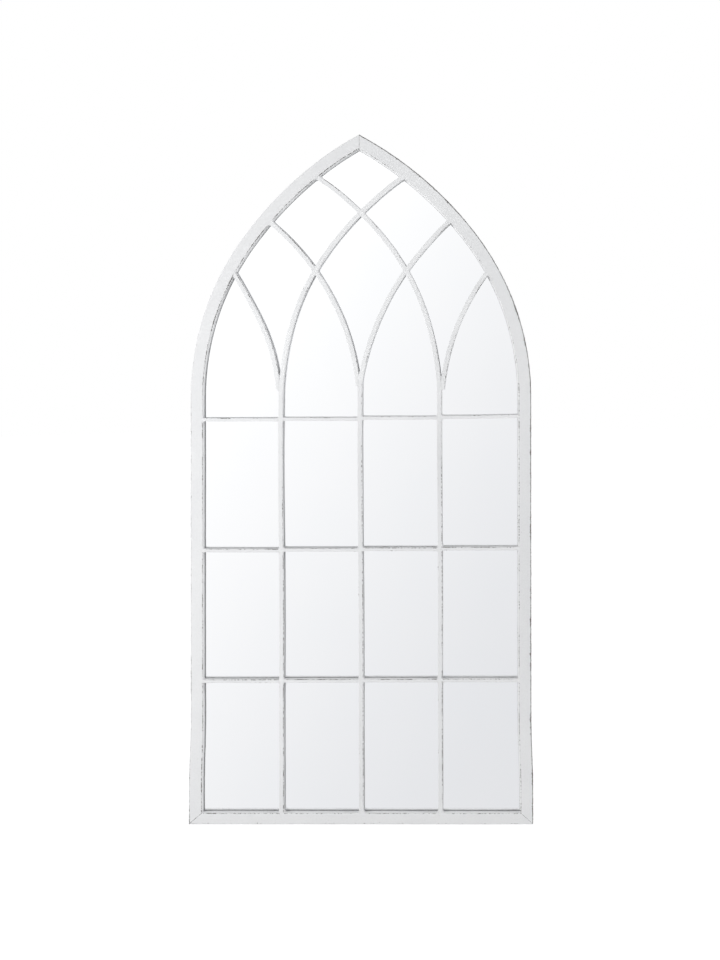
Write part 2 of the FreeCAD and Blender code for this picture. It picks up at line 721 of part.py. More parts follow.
def hanger():
    """Bracket inside the right stile: a plate level with the back rim, with a keyhole, and a welded leg."""
    body = new_body("hanger_body")
    plate = new_sketch(body, "hanger_plate", "XZ_Plane", "-" + cell("back"))
    wall = named("wall_inside")
    inner, corner = plus(wall, named("hanger_reach", -1)), named("hanger_corner")
    half = times(named("hanger_length"), 0.5)
    low, high = plus(named("hanger_height"), times(half, -1)), plus(named("hanger_height"), half)
    polygon(plate, [
        (wall, low), (wall, high), (plus(inner, corner), high), (inner, plus(high, times(corner, -1))),
        (inner, plus(low, corner)), (plus(inner, corner), low),
    ])
    pad(body, "hanger_plate_pad", plate, cell("hanger_metal"))
    leg = new_sketch(body, "hanger_leg_outline", "XZ_Plane", "-" + cell("back"))
    leg_inside = plus(wall, named("hanger_metal", -1))
    polygon(leg, [(wall, low), (wall, high), (leg_inside, high), (leg_inside, low)])
    pad(body, "hanger_leg_pad", leg, cell("hanger_leg"))
    holes = new_sketch(body, "hanger_keyhole", "XZ_Plane")
    centre_x = plus(named("half_width"), named("keyhole_inset", -1))
    middle = plus(named("hanger_height"), times(named("keyhole_drop"), -0.5))
    add_circle(holes, centre_x, middle, named("keyhole_radius"))
    pocket_through(body, "hanger_entry", holes)
    slot = new_sketch(body, "hanger_slot", "XZ_Plane")
    r, x, z = size("keyhole_slot_radius"), centre_x[1], middle[1]
    drop = size("keyhole_drop")
    up = add_line(slot, (x + r, z), (x + r, z + drop))
    top = add_arc(slot, (x, z + drop), r, 0, math.pi)
    down = add_line(slot, (x - r, z + drop), (x - r, z))
    bottom = add_line(slot, (x - r, z), (x + r, z))
    relate(slot, "Vertical", up)
    relate(slot, "Vertical", down)
    relate(slot, "Horizontal", bottom)
    relate(slot, "Tangent", up, 2, top, 1)
    relate(slot, "Tangent", top, 2, down, 1)
    relate(slot, "Coincident", down, 2, bottom, 1)
    relate(slot, "Coincident", bottom, 2, up, 1)
    fix_x(slot, top, 3, *centre_x)
    fix_y(slot, top, 3, *plus(middle, named("keyhole_drop")))
    fix(slot, "Radius", cell("keyhole_slot_radius"), r, top)
    fix_y(slot, bottom, 1, *middle)
    pocket_through(body, "hanger_slot_cut", slot)
    return body


add_node("bottom_rail", bottom_rail())
stile = add_node("right_stile", right_stile())
add_node("left_stile", mirrored("left_stile_mirror", stile))
tracery()
cross_bars()
backing()
bracket = add_node("hanger_right", hanger())
add_node("hanger_left", mirrored("hanger_left_mirror", bracket))
doc.recompute()

for obj in doc.Objects:
    if "Invalid" in obj.State or "Error" in obj.State:
        raise RuntimeError("%s failed: %s" % (obj.Label, obj.State))
for name, obj in nodes.items():
    if obj.Shape.isNull() or not obj.Shape.isValid() or not obj.Shape.Solids:
        raise RuntimeError("%s has no valid solid" % name)

os.makedirs("parts", exist_ok=True)
for name, obj in nodes.items():
    obj.Shape.exportStep("parts/%s.step" % name)
    print("%-24s solids %2d  volume %10.1f mm3" % (name, len(obj.Shape.Solids), obj.Shape.Volume))
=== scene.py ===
import math
import random

import bmesh
import bpy
from mathutils import Matrix, Vector, noise


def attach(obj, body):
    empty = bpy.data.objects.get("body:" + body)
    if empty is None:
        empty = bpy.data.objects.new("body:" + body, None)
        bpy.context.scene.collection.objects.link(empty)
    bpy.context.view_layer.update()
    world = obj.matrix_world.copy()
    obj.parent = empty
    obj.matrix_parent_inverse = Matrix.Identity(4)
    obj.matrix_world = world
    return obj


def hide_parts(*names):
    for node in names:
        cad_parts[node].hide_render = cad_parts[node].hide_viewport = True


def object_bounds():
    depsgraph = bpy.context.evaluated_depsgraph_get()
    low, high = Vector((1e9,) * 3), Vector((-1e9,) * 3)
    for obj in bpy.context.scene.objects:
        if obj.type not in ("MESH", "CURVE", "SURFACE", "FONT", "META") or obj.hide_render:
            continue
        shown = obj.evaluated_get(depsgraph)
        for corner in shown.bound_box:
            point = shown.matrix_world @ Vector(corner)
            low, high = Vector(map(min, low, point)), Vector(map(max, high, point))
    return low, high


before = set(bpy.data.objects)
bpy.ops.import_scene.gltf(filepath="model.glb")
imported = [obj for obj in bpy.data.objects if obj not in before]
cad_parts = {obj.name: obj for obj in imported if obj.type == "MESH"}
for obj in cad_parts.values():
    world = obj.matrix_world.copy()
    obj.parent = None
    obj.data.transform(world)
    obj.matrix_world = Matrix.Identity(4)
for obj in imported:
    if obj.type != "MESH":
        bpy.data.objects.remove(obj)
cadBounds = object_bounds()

# Pointed-arch window mirror: iron bars and channel, welded by hand, painted white and worn at the arrises.
# Sizes in the dictionaries are in millimetres and degrees; meshes are in metres.
mm = 0.001
scene = bpy.context.scene
random.seed(7)
noise.seed_set(7)  # without it the noise vectors change with the time of day


def linear(hexColour):  # sRGB hex to the linear colour that a shader takes
    parts = [int(hexColour[i:i + 2], 16) / 255 for i in (1, 3, 5)]
    return [p / 12.92 if p <= 0.04045 else ((p + 0.055) / 1.055) ** 2.4 for p in parts] + [1.0]


def addNode(tree, kind, settings=None, values=None, links=None):  # a link from a node takes its first output
    node = tree.nodes.new("ShaderNode" + kind)
    for key, value in (settings or {}).items():
        setattr(node, key, value)
    for key, value in (values or {}).items():
        node.inputs[key].default_value = value
    for key, source in (links or {}).items():
        tree.links.new(getattr(source, "outputs", [source])[0], node.inputs[key])
    return node


def newMaterial(name):
    material = bpy.data.materials.new(name)
    material.use_nodes = True
    tree = material.node_tree
    tree.nodes.clear()
    return material, tree, addNode(tree, "TexCoord").outputs["Object"]


def spans(source=None, target=None):  # a Map Range node's limits, from pairs
    limits = {}
    for way, pair in (("From", source), ("To", target)):
        if pair:
            limits[way + " Min"], limits[way + " Max"] = pair
    return limits


def between(first, second):  # the two colours of a Mix node
    return {6: linear(first), 7: linear(second)}


inColour = {"data_type": "RGBA"}
smoothly = {"interpolation_type": "SMOOTHSTEP"}

cameraSet = {
    "place": (309.0, -2615.0, 905.0),  # 2.6 m in front of the frame's face, looking straight at the wall
    "lens": 48.8,
    "sensorHeight": 32.0,
    "shift": (-0.1823, -0.1719),  # shares of the picture's height, as the photograph frames it
    "farthest": 60.0,  # metres
}
cameraData = bpy.data.cameras.new("camera")
cameraData.sensor_fit = "VERTICAL"
cameraData.sensor_height = cameraSet["sensorHeight"]
cameraData.lens = cameraSet["lens"]
cameraData.shift_x, cameraData.shift_y = cameraSet["shift"]
cameraData.clip_end = cameraSet["farthest"]
camera = bpy.data.objects.new("camera", cameraData)
camera.location = Vector(cameraSet["place"]) * mm
camera.rotation_euler = (math.radians(90), 0, 0)
scene.collection.objects.link(camera)
scene.camera = camera
scene.view_settings.view_transform = "Standard"
print("camera placed")

# studio: a white sweep that falls off to the lower right, two soft lamps and a pale floor
studio = {
    "fromFront": 0.13,  # how strongly the surroundings light the object from the front
    "fromAside": 0.53,  # and from the sides, above and below
    "fromBehind": 0.85,
    "fillColour": "#F7F9FC",
    "brightSide": 1.17,  # what the mirror sees at its upper left
    "dimSide": 0.855,  # and at its lower right
    "reflected": ("#F7F8FB", "#FCFCFC"),  # dim, bright
    "towardsBright": (-0.83, 0.0, 0.56),
    "falloff": (-0.20, 0.28),
    "keyLamp": ((-1660.0, -1900.0, 990.0), (0.0, 0.0, 560.0), 1300.0, 39.3),  # place, aim, size, power
    "sideLamp": ((2300.0, -215.0, 830.0), (0.0, 0.0, 560.0), 1100.0, 33.0),
    "floorRadius": 9000.0,
    "floorDrop": 0.4,
    "floorPaints": ("#E6E6E5", "#ECECEB"),
    "floorGrain": 350.0,  # clouding of the paint
    "floorRoughness": 0.6,
    "floorWhite": 0.87,  # the floor's own white for the camera, to which the light on it is added
    "floorShade": 0.32,
}

world = bpy.data.worlds.new("studio")
scene.world = world
world.use_nodes = True
tree = world.node_tree
tree.nodes.clear()
rays = addNode(tree, "LightPath")
way = addNode(tree, "TexCoord")
side = addNode(tree, "VectorMath", {"operation": "DOT_PRODUCT"},
               {1: studio["towardsBright"]}, {0: way.outputs["Generated"]})
share = addNode(tree, "MapRange", smoothly, spans(studio["falloff"]), {"Value": side.outputs["Value"]})
level = addNode(tree, "MapRange", None, spans(None, (studio["dimSide"], studio["brightSide"])),
                {"Value": share})
tint = addNode(tree, "Mix", inColour, between(*studio["reflected"]), {0: share})
depth = addNode(tree, "VectorMath", {"operation": "DOT_PRODUCT"}, {1: (0.0, 1.0, 0.0)},
                {0: way.outputs["Generated"]})
headOn = addNode(tree, "Math", {"operation": "MULTIPLY"}, None,
                 {0: depth.outputs["Value"], 1: depth.outputs["Value"]})
toFront = addNode(tree, "MapRange", None, spans(None, (studio["fromAside"], studio["fromFront"])),
                  {"Value": headOn})
toBack = addNode(tree, "MapRange", None, spans(None, (studio["fromAside"], studio["fromBehind"])),
                 {"Value": headOn})
behind = addNode(tree, "Math", {"operation": "GREATER_THAN"}, {1: 0.0}, {0: depth.outputs["Value"]})
strength = addNode(tree, "Mix", None, None, {0: behind, 2: toFront, 3: toBack})
fill = addNode(tree, "Background", None, {"Color": linear(studio["fillColour"])}, {"Strength": strength})
seen = addNode(tree, "Background", None, None, {"Color": tint.outputs[2], "Strength": level})
white = addNode(tree, "Background", None, {"Color": (1, 1, 1, 1), "Strength": 1.0})
mirrored = addNode(tree, "Math", {"operation": "MAXIMUM"}, None,
                   {0: rays.outputs["Is Glossy Ray"], 1: rays.outputs["Is Transmission Ray"]})
around = addNode(tree, "MixShader", None, None, {0: mirrored, 1: fill, 2: seen})
backdrop = addNode(tree, "MixShader", None, None, {0: rays.outputs["Is Camera Ray"], 1: around, 2: white})
addNode(tree, "OutputWorld", None, None, {"Surface": backdrop})

for name in ("keyLamp", "sideLamp"):
    place, aim, size, power = studio[name]
    lampData = bpy.data.lights.new(name, "AREA")
    lampData.shape = "DISK"
    lampData.size = size * mm
    lampData.energy = power
    lamp = bpy.data.objects.new(name, lampData)
    lamp.location = Vector(place) * mm
    lamp.rotation_euler = (Vector(aim) - Vector(place)).to_track_quat("-Z", "Y").to_euler()
    lamp.visible_camera = lamp.visible_glossy = lamp.visible_transmission = False
    scene.collection.objects.link(lamp)

# matt white floor paint: the camera sees it white with the object's soft shadow, the mirror sees the sweep
floorPaint, tree, coords = newMaterial("mattFloorPaint")
rays = addNode(tree, "LightPath")
grain = addNode(tree, "TexNoise", None, {"Scale": 1 / (studio["floorGrain"] * mm), "Detail": 3.0},
                {"Vector": coords})
tone = addNode(tree, "Mix", inColour, between(*studio["floorPaints"]), {0: grain})
matt = addNode(tree, "BsdfDiffuse", None, {"Roughness": studio["floorRoughness"]}, {"Color": tone.outputs[2]})
dim = addNode(tree, "BsdfDiffuse", None, {"Color": [studio["floorShade"]] * 3 + [1]})
glow = addNode(tree, "Emission", None, {"Color": (1, 1, 1, 1), "Strength": studio["floorWhite"]})
both = addNode(tree, "AddShader", None, None, {0: dim, 1: glow})
clear = addNode(tree, "BsdfTransparent")
mirrored = addNode(tree, "Math", {"operation": "MAXIMUM"}, None,
                   {0: rays.outputs["Is Glossy Ray"], 1: rays.outputs["Is Transmission Ray"]})
plain = addNode(tree, "MixShader", None, None, {0: rays.outputs["Is Camera Ray"], 1: matt, 2: both})
shown = addNode(tree, "MixShader", None, None, {0: mirrored, 1: plain, 2: clear})
addNode(tree, "OutputMaterial", None, None, {"Surface": shown})
floorPaint.cycles.emission_sampling = "NONE"  # it glows for the camera only, so it is no lamp

bm = bmesh.new()
bmesh.ops.create_circle(bm, cap_ends=True, segments=64, radius=studio["floorRadius"] * mm)
bmesh.ops.translate(bm, verts=bm.verts, vec=(0, 0, -studio["floorDrop"] * mm))
floorMesh = bpy.data.meshes.new("floor")
bm.to_mesh(floorMesh)
bm.free()
floorMesh.materials.append(floorPaint)
floor = bpy.data.objects.new("floor", floorMesh)
scene.collection.objects.link(floor)
print("studio lit")

paintSet = {
    "pale": "#F8F8F8", "grey": "#F1F1F2", "speck": "#D6D6D5", "halo": "#AFAFAE", "rust": "#6E6964",
    # the grime colour stands both for dirt and for painted shade in recesses and by the glass
    "iron": "#3E3D3C", "grimeAndShade": "#5E6063",
    "noises": (  # size, detail, roughness
        (45.0, 3.0, 0.5),  # clouding of the brushed coat
        (2.6, 1.0, 0.5),  # dust and pinholes; finer in fact, drawn as coarse as shows
        (2.9, 4.0, 0.62),  # chips, by their length along an arris
        (26.1, 2.0, 0.5),  # chipped and whole lengths of an arris
        (1.4, 3.0, 0.6)),  # brush marks and pitting of the iron under the paint
    "speckFrom": (0.70, 0.80), "specks": 0.5,
    "chipFrom": (0.83, 0.89),
    "haloFrom": (0.76, 0.90),
    "chipped": (0.33, 0.12),  # how much more easily the paint chips at an arris and at a joint
    "runs": 0.5,  # how unevenly the chips are spread
    "rubbedFrom": (0.45, 1.1), "rubbed": 0.38,  # how far a worn arris is greyed between its chips
    # how unevenly the dirt and the painted shade lie
    "dirtAndShadeFrom": (0.3, 0.7), "dirtAndShadeUneven": (0.75, 1.1),
    "roughness": (0.44, 0.60), "bareRoughness": 0.82,
    "relief": (0.35, 0.12),  # strength and depth
}
glassSet = {
    "silver": ("#F8F9FA", "#FBFBFB"),
    "haze": 130.0, "ripple": 250.0,
    "roughness": (0.004, 0.012),
    "relief": (0.02, 0.1),
    "gloss": {"Metallic": 1.0, "Coat Weight": 1.0, "Coat IOR": 1.52, "Coat Roughness": 0.005},
    "edge": ("#9DB9AC", "#BFD2C8"),
    "grit": 0.8,
    "edgeRoughness": (0.35, 0.6),
    "edgeRelief": (0.2, 0.05),
}
boardSet = {
    "felt": ("#8B6D4B", "#B09070"), "handled": "#7A5E41",
    "fibre": 2.2, "fibreLength": 0.35,  # the pattern's scale upwards
    "clouds": 90.0,
    "handledFrom": (0.45, 0.8), "darkened": 0.45,
    "roughness": (0.78, 0.92),
    "relief": (0.3, 0.15),
}
zincSet = {
    "plate": ("#A9ADB2", "#C6C9CC"), "scuffed": "#8F9397",
    "spangle": 2.5,
    "scuff": 1.2, "scuffFrom": (0.55, 0.75), "dulled": 0.5,
    "roughness": (0.28, 0.5),
    "relief": (0.2, 0.04),
}
layerNames = ("wear", "joint", "dirtAndShade")  # what the paint reads at each vertex; the third is dirt and painted shade together


def finishMaterial(tree, colour, rough, height, relief, values=None):
    strength, depth = relief
    bump = addNode(tree, "Bump", None, {"Strength": strength, "Distance": depth * mm}, {"Height": height})
    shader = addNode(tree, "BsdfPrincipled", None, values,
                     {"Base Color": colour.outputs[2], "Roughness": rough, "Normal": bump})
    addNode(tree, "OutputMaterial", None, None, {"Surface": shader})


# brushed white enamel over welded iron: satin, clouded, chipped to brown-grey metal at the arrises and joints
def wornPaint(name, values):
    material, tree, coords = newMaterial(name)
    wear, joint, dirtAndShade = [addNode(tree, "Attribute", {"attribute_name": key}).outputs["Fac"]
                         for key in layerNames]
    mottle, speckle, chips, patches, brush = [
        addNode(tree, "TexNoise", None,
                {"Scale": 1 / (size * mm), "Detail": detail, "Roughness": roughness}, {"Vector": coords})
        for size, detail, roughness in values["noises"]]
    base = addNode(tree, "Mix", inColour, between(values["grey"], values["pale"]), {0: mottle})
    dotted = addNode(tree, "MapRange", None, spans(values["speckFrom"], (0.0, values["specks"])),
                     {"Value": speckle})
    withSpecks = addNode(tree, "Mix", inColour, {7: linear(values["speck"])}, {0: dotted, 6: base.outputs[2]})
    # dirt and painted shade: the grime colour is laid on where the vertex mask of dirt and shade is high
    uneven = addNode(tree, "MapRange", None, spans(values["dirtAndShadeFrom"], values["dirtAndShadeUneven"]),
                     {"Value": chips})
    soiledAndShaded = addNode(tree, "Math", {"operation": "MULTIPLY", "use_clamp": True}, None, {0: dirtAndShade, 1: uneven})
    withDirtAndShade = addNode(tree, "Mix", inColour, {7: linear(values["grimeAndShade"])},
                       {0: soiledAndShaded, 6: withSpecks.outputs[2]})
    # wear and joints lift the chip noise over its threshold; patches leave some lengths untouched
    spread = addNode(tree, "Math", {"operation": "MULTIPLY_ADD"},
                     {1: values["runs"], 2: -values["runs"] / 2}, {0: patches})
    raised = addNode(tree, "Math", {"operation": "ADD"}, None, {0: chips, 1: spread})
    atArris = addNode(tree, "Math", {"operation": "MULTIPLY_ADD"}, {1: values["chipped"][0]},
                      {0: wear, 2: raised})
    atJoint = addNode(tree, "Math", {"operation": "MULTIPLY_ADD"}, {1: values["chipped"][1]},
                      {0: joint, 2: atArris})
    halo = addNode(tree, "MapRange", smoothly, spans(values["haloFrom"]), {"Value": atJoint})
    bare = addNode(tree, "MapRange", smoothly, spans(values["chipFrom"]), {"Value": atJoint})
    metal = addNode(tree, "Mix", inColour, between(values["iron"], values["rust"]), {0: brush})
    rubbed = addNode(tree, "MapRange", smoothly, spans(values["rubbedFrom"], (0.0, values["rubbed"])),
                     {"Value": wear})
    greyed = addNode(tree, "Math", {"operation": "MAXIMUM"}, None, {0: halo, 1: rubbed})
    withHalo = addNode(tree, "Mix", inColour, {7: linear(values["halo"])},
                       {0: greyed, 6: withDirtAndShade.outputs[2]})
    colour = addNode(tree, "Mix", inColour, None, {0: bare, 6: withHalo.outputs[2], 7: metal.outputs[2]})
    sheen = addNode(tree, "MapRange", None, spans(None, values["roughness"]), {"Value": mottle})
    rough = addNode(tree, "Mix", None, {3: values["bareRoughness"]}, {0: bare, 2: sheen})
    height = addNode(tree, "Math", {"operation": "MULTIPLY_ADD"}, {1: -1.0}, {0: bare, 2: brush})
    finishMaterial(tree, colour, rough, height, values["relief"], {"IOR": 1.5})
    return material


# silvered float glass: the silver seen through clear glass, so nearly all light comes back under a hard gloss
def silvering(name, values):
    material, tree, coords = newMaterial(name)
    haze = addNode(tree, "TexNoise", None, {"Scale": 1 / (values["haze"] * mm), "Detail": 3.0},
                   {"Vector": coords})
    ripple = addNode(tree, "TexNoise", None, {"Scale": 1 / (values["ripple"] * mm), "Detail": 1.0},
                     {"Vector": coords})
    tone = addNode(tree, "Mix", inColour, between(*values["silver"]), {0: haze})
    rough = addNode(tree, "MapRange", None, spans(None, values["roughness"]), {"Value": haze})
    finishMaterial(tree, tone, rough, ripple, values["relief"], values["gloss"])
    return material


# ground edge of float glass: pale green and frosted
def groundEdge(name, values):
    material, tree, coords = newMaterial(name)
    grit = addNode(tree, "TexNoise", None, {"Scale": 1 / (values["grit"] * mm)}, {"Vector": coords})
    tint = addNode(tree, "Mix", inColour, between(*values["edge"]), {0: grit})
    rough = addNode(tree, "MapRange", None, spans(None, values["edgeRoughness"]), {"Value": grit})
    finishMaterial(tree, tint, rough, grit, values["edgeRelief"], {"IOR": 1.52})
    return material


# medium-density fibreboard: felted brown fibres, matt, darker where handled
def fibreboard(name, values):
    material, tree, coords = newMaterial(name)
    stretch = addNode(tree, "Mapping", None, {"Scale": (1.0, 1.0, values["fibreLength"])}, {"Vector": coords})
    fibres = addNode(tree, "TexNoise", None,
                     {"Scale": 1 / (values["fibre"] * mm), "Detail": 4.0, "Roughness": 0.7},
                     {"Vector": stretch})
    clouds = addNode(tree, "TexNoise", None, {"Scale": 1 / (values["clouds"] * mm), "Detail": 3.0},
                     {"Vector": coords})
    felt = addNode(tree, "Mix", inColour, between(*values["felt"]), {0: fibres})
    handled = addNode(tree, "MapRange", None, spans(values["handledFrom"], (0.0, values["darkened"])),
                      {"Value": clouds})
    colour = addNode(tree, "Mix", inColour, {7: linear(values["handled"])}, {0: handled, 6: felt.outputs[2]})
    rough = addNode(tree, "MapRange", None, spans(None, values["roughness"]), {"Value": fibres})
    finishMaterial(tree, colour, rough, fibres, values["relief"])
    return material


# zinc-plated steel: blue-grey with a faint crystal spangle, scuffed
def zincPlate(name, values):
    material, tree, coords = newMaterial(name)
    spangle = addNode(tree, "TexVoronoi", None, {"Scale": 1 / (values["spangle"] * mm)}, {"Vector": coords})
    scuff = addNode(tree, "TexNoise", None,
                    {"Scale": 1 / (values["scuff"] * mm), "Detail": 3.0, "Roughness": 0.65},
                    {"Vector": coords})
    shade = addNode(tree, "SeparateColor", None, None, {0: spangle.outputs["Color"]})
    plate = addNode(tree, "Mix", inColour, between(*values["plate"]), {0: shade})
    worn = addNode(tree, "MapRange", None, spans(values["scuffFrom"], (0.0, values["dulled"])),
                   {"Value": scuff})
    colour = addNode(tree, "Mix", inColour, {7: linear(values["scuffed"])}, {0: worn, 6: plate.outputs[2]})
    rough = addNode(tree, "MapRange", None, spans(None, values["roughness"]), {"Value": scuff})
    finishMaterial(tree, colour, rough, scuff, values["relief"], {"Metallic": 1.0})
    return material


whiteEnamel = wornPaint("wornWhiteEnamel", paintSet)
silver = silvering("silveredFloatGlass", glassSet)
glassEdge = groundEdge("groundGlassEdge", glassSet)
board = fibreboard("fibreboard", boardSet)
zinc = zincPlate("zincPlatedSteel", zincSet)
print("materials made")

handwork = {
    "bendLength": 110.0,  # how far apart the slight bends of hand-set bars are
    "bend": 0.25,
    "hammerLength": 14.0,  # dents and uneven paint along the arrises
    "hammer": 0.16,
    "hammerProud": 0.5,  # share of a dent that shows at the front, in front of the next depth
    "frontOf": -4.0,
    "keepInside": 0.03,  # clearance to the CAD box after both
    "wornBeside": 0.5,  # how far wear reaches beyond the rounding of an arris
    "barsOff": (  # x, z, reach in x, reach in z, shift in x, shift in z
        (-60.0, 700.0, 190.0, 230.0, -1.9, 0.0), (-150.0, 150.0, 110.0, 350.0, -1.0, 0.0),
        (140.5, 720.0, 60.0, 150.0, -1.1, 0.0), (0.0, 690.0, 60.0, 120.0, -0.8, 0.0),
        (-140.5, 640.0, 60.0, 150.0, -1.4, 0.0), (70.0, 60.0, 120.0, 90.0, 0.8, 0.0),
        (72.8, 1146.5, 50.0, 50.0, -0.6, 3.2), (159.8, 1066.6, 45.0, 45.0, 0.4, 2.8),
        (-66.0, 1139.0, 40.0, 40.0, 0.7, 0.9), (-205.0, 930.0, 60.0, 80.0, -4.2, -3.0),
        (281.0, 724.0, 60.0, 40.0, 0.0, 1.8), (0.0, 489.0, 50.0, 60.0, -0.6, 0.0),
        (-90.0, 930.0, 60.0, 90.0, -1.7, 1.0), (0.0, 1063.0, 50.0, 50.0, -0.7, -0.7),
        (69.3, 949.0, 50.0, 50.0, -0.3, 0.9), (175.0, 885.0, 50.0, 60.0, -1.0, 0.0)),
    "frameOff": ((0.0, 1210.0, 160.0, 140.0, -3.2, 0.0), (-284.0, 0.0, 12.0, 170.0, 1.5, 0.0)),
}
jointPlaces = []  # (x, z, reach, soot) of the welds, lengths in metres; filled while the bars are made


def cross2(a, b):
    return a[0] * b[1] - a[1] * b[0]


def unit(x, z):
    length = math.hypot(x, z)
    return (x / length, z / length)


def inSpace(way):  # a direction on the front as one in space
    return Vector((way[0], 0, way[1]))


def beyond(place, way, length):  # the place that far along a direction
    return (place[0] + way[0] * length, place[1] + way[1] * length)


def circlesMeet(first, second, right):  # circles (x, z, radius); the upper meeting point nearest to x = right
    x0, z0, r0 = first
    x1, z1, r1 = second
    apart = math.hypot(x1 - x0, z1 - z0)
    along = (r0 ** 2 - r1 ** 2 + apart ** 2) / (2 * apart)
    off = math.sqrt(r0 ** 2 - along ** 2)
    ux, uz = (x1 - x0) / apart, (z1 - z0) / apart
    meets = [(x0 + ux * along + s * uz * off, z0 + uz * along - s * ux * off) for s in (1, -1)]
    return max(meets, key=lambda p: p[1] - abs(p[0] - right) * 0.001)


def startSection(bm, corners, radii, wears, cutLength):  # closed section; each corner has its radius and wear
    verts = []
    for i, place in enumerate([Vector(c) for c in corners]):
        before = Vector(corners[i - 1]) - place
        after = Vector(corners[(i + 1) % len(corners)]) - place
        beside = radii[i] + handwork["wornBeside"] * mm
        if before.length > beside * 3:
            verts.append(bm.verts.new(place + before.normalized() * beside))
        verts.append(bm.verts.new(place))
        if after.length > beside * 3:
            verts.append(bm.verts.new(place + after.normalized() * beside))
    face = bm.faces.new(verts)
    for edge in list(face.edges):
        cuts = int(edge.calc_length() / cutLength)
        if cuts:
            bmesh.ops.subdivide_edges(bm, edges=[edge], cuts=cuts)
    for corner, radius in zip(corners, radii):
        nearest = min(bm.verts, key=lambda vert: (vert.co - Vector(corner)).length)
        bmesh.ops.bevel(bm, geom=[nearest], offset=radius, segments=3, profile=0.5, affect="VERTICES",
                        material=-1)
    layer = layersOf(bm)[0]
    for vert in bm.verts:
        for corner, radius, wear in zip(corners, radii, wears):
            if (vert.co - Vector(corner)).length < max(radius, 0.0001) * 1.05:
                vert[layer] = max(vert[layer], wear)
    edges = list(bm.edges)
    bmesh.ops.delete(bm, geom=list(bm.faces), context="FACES_ONLY")
    return edges


def newBmesh():
    bm = bmesh.new()
    for name in layerNames:
        bm.verts.layers.float.new(name)
    return bm


def layersOf(bm):
    return [bm.verts.layers.float[name] for name in layerNames]


def extrudeStep(bm, edges, move):
    made = bmesh.ops.extrude_edge_only(bm, edges=edges)["geom"]
    verts = [g for g in made if isinstance(g, bmesh.types.BMVert)]
    bmesh.ops.transform(bm, matrix=move, verts=verts, space=Matrix())
    fresh = set(verts)
    return [g for g in made if isinstance(g, bmesh.types.BMEdge) and fresh.issuperset(g.verts)]


def turnAbout(x, z, degrees):  # positive turns a rising bar to the right
    middle = Matrix.Translation((x * mm, 0, z * mm))
    return middle @ Matrix.Rotation(math.radians(degrees), 4, "Y") @ middle.inverted()


def walk(bm, edges, moves, step=4.0):  # moves (dx, dz) and turns (centre x, centre z, radius, degrees)
    for move in moves:
        if len(move) == 2:
            count = max(1, round(math.hypot(*move) / step))
            matrix = Matrix.Translation((move[0] * mm / count, 0, move[1] * mm / count))
        else:
            x, z, radius, degrees = move
            count = max(1, round(abs(math.radians(degrees)) * radius / step))
            matrix = turnAbout(x, z, degrees / count)
        for i in range(count):
            edges = extrudeStep(bm, edges, matrix)
    return edges


def trim(bm, place, normal):  # cuts away what lies beyond a plane, on the side its normal points to
    geom = list(bm.verts) + list(bm.edges) + list(bm.faces)
    bmesh.ops.bisect_plane(bm, geom=geom, dist=0.0000001, plane_co=(place[0] * mm, 0, place[1] * mm),
                           plane_no=(normal[0], 0, normal[1]), clear_outer=True)


def closeEnds(bm):
    bmesh.ops.holes_fill(bm, edges=[e for e in bm.edges if e.is_boundary], sides=0)


def shareAt(co, x, z, reachX, reachZ):  # 1 at a place, falling away around it
    return math.exp(-((co.x / mm - x) / reachX) ** 2 - ((co.z / mm - z) / reachZ) ** 2)


def setOff(co, places):  # how far the smith set the iron from where it is drawn
    moved = Vector((0, 0, 0))
    for x, z, reachX, reachZ, dx, dz in places:
        moved += Vector((dx, 0, dz)) * shareAt(co, x, z, reachX, reachZ) * mm
    return moved


def paintFaceShade(bm, places):  # painted shade and light: the fronts are darkened or lightened at places, as the light falls there
    dirtAndShade = layersOf(bm)[2]
    for vert in bm.verts:
        if 0 < vert[dirtAndShade] < 0.2:
            vert[dirtAndShade] += sum(more * shareAt(vert.co, *where) for *where, more in places)


def byHand(bm, places):  # the same at the same place on every piece, so joints stay closed
    wear, joint, dirtAndShade = layersOf(bm)
    low, high = Vector(cadBounds[0]), Vector(cadBounds[1])
    inside = handwork["keepInside"] * mm
    bendScale, hammerScale = 1 / (handwork["bendLength"] * mm), 1 / (handwork["hammerLength"] * mm)
    for vert in bm.verts:
        bend = noise.noise_vector(vert.co * bendScale) * handwork["bend"] * mm
        dent = noise.noise_vector(vert.co * hammerScale + Vector((31, 7, 3))) * handwork["hammer"] * mm
        proud = dent.y * handwork["hammerProud"] if vert.co.y < handwork["frontOf"] * mm else 0.0
        for x, z, reach, soot in jointPlaces:
            far = math.hypot(vert.co.x - x, vert.co.z - z)
            if far < reach:
                vert[joint] = max(vert[joint], soot * (1 - far / reach))
                vert[wear] *= far / reach
        vert.co += Vector((bend.x + dent.x, proud, bend.z + dent.z)) + setOff(vert.co, places)
        for k in range(3):
            vert.co[k] = min(max(vert.co[k], low[k] + inside), high[k] - inside)


def toObject(bm, name, material, replaced, angle=40.0):
    bmesh.ops.remove_doubles(bm, verts=bm.verts, dist=0.000002)
    bmesh.ops.recalc_face_normals(bm, faces=bm.faces)
    for face in bm.faces:
        face.smooth = True
    mesh = bpy.data.meshes.new(name)
    bm.to_mesh(mesh)
    bm.free()
    mesh.set_sharp_from_angle(angle=math.radians(angle))
    for each in material if isinstance(material, list) else [material]:
        mesh.materials.append(each)
    piece = bpy.data.objects.new(name, mesh)
    scene.collection.objects.link(piece)
    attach(piece, "root")
    if replaced:
        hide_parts(*replaced)
    return piece


def mirrorX(bm):
    bmesh.ops.scale(bm, vec=(-1, 1, 1), verts=bm.verts)
    bmesh.ops.recalc_face_normals(bm, faces=bm.faces)


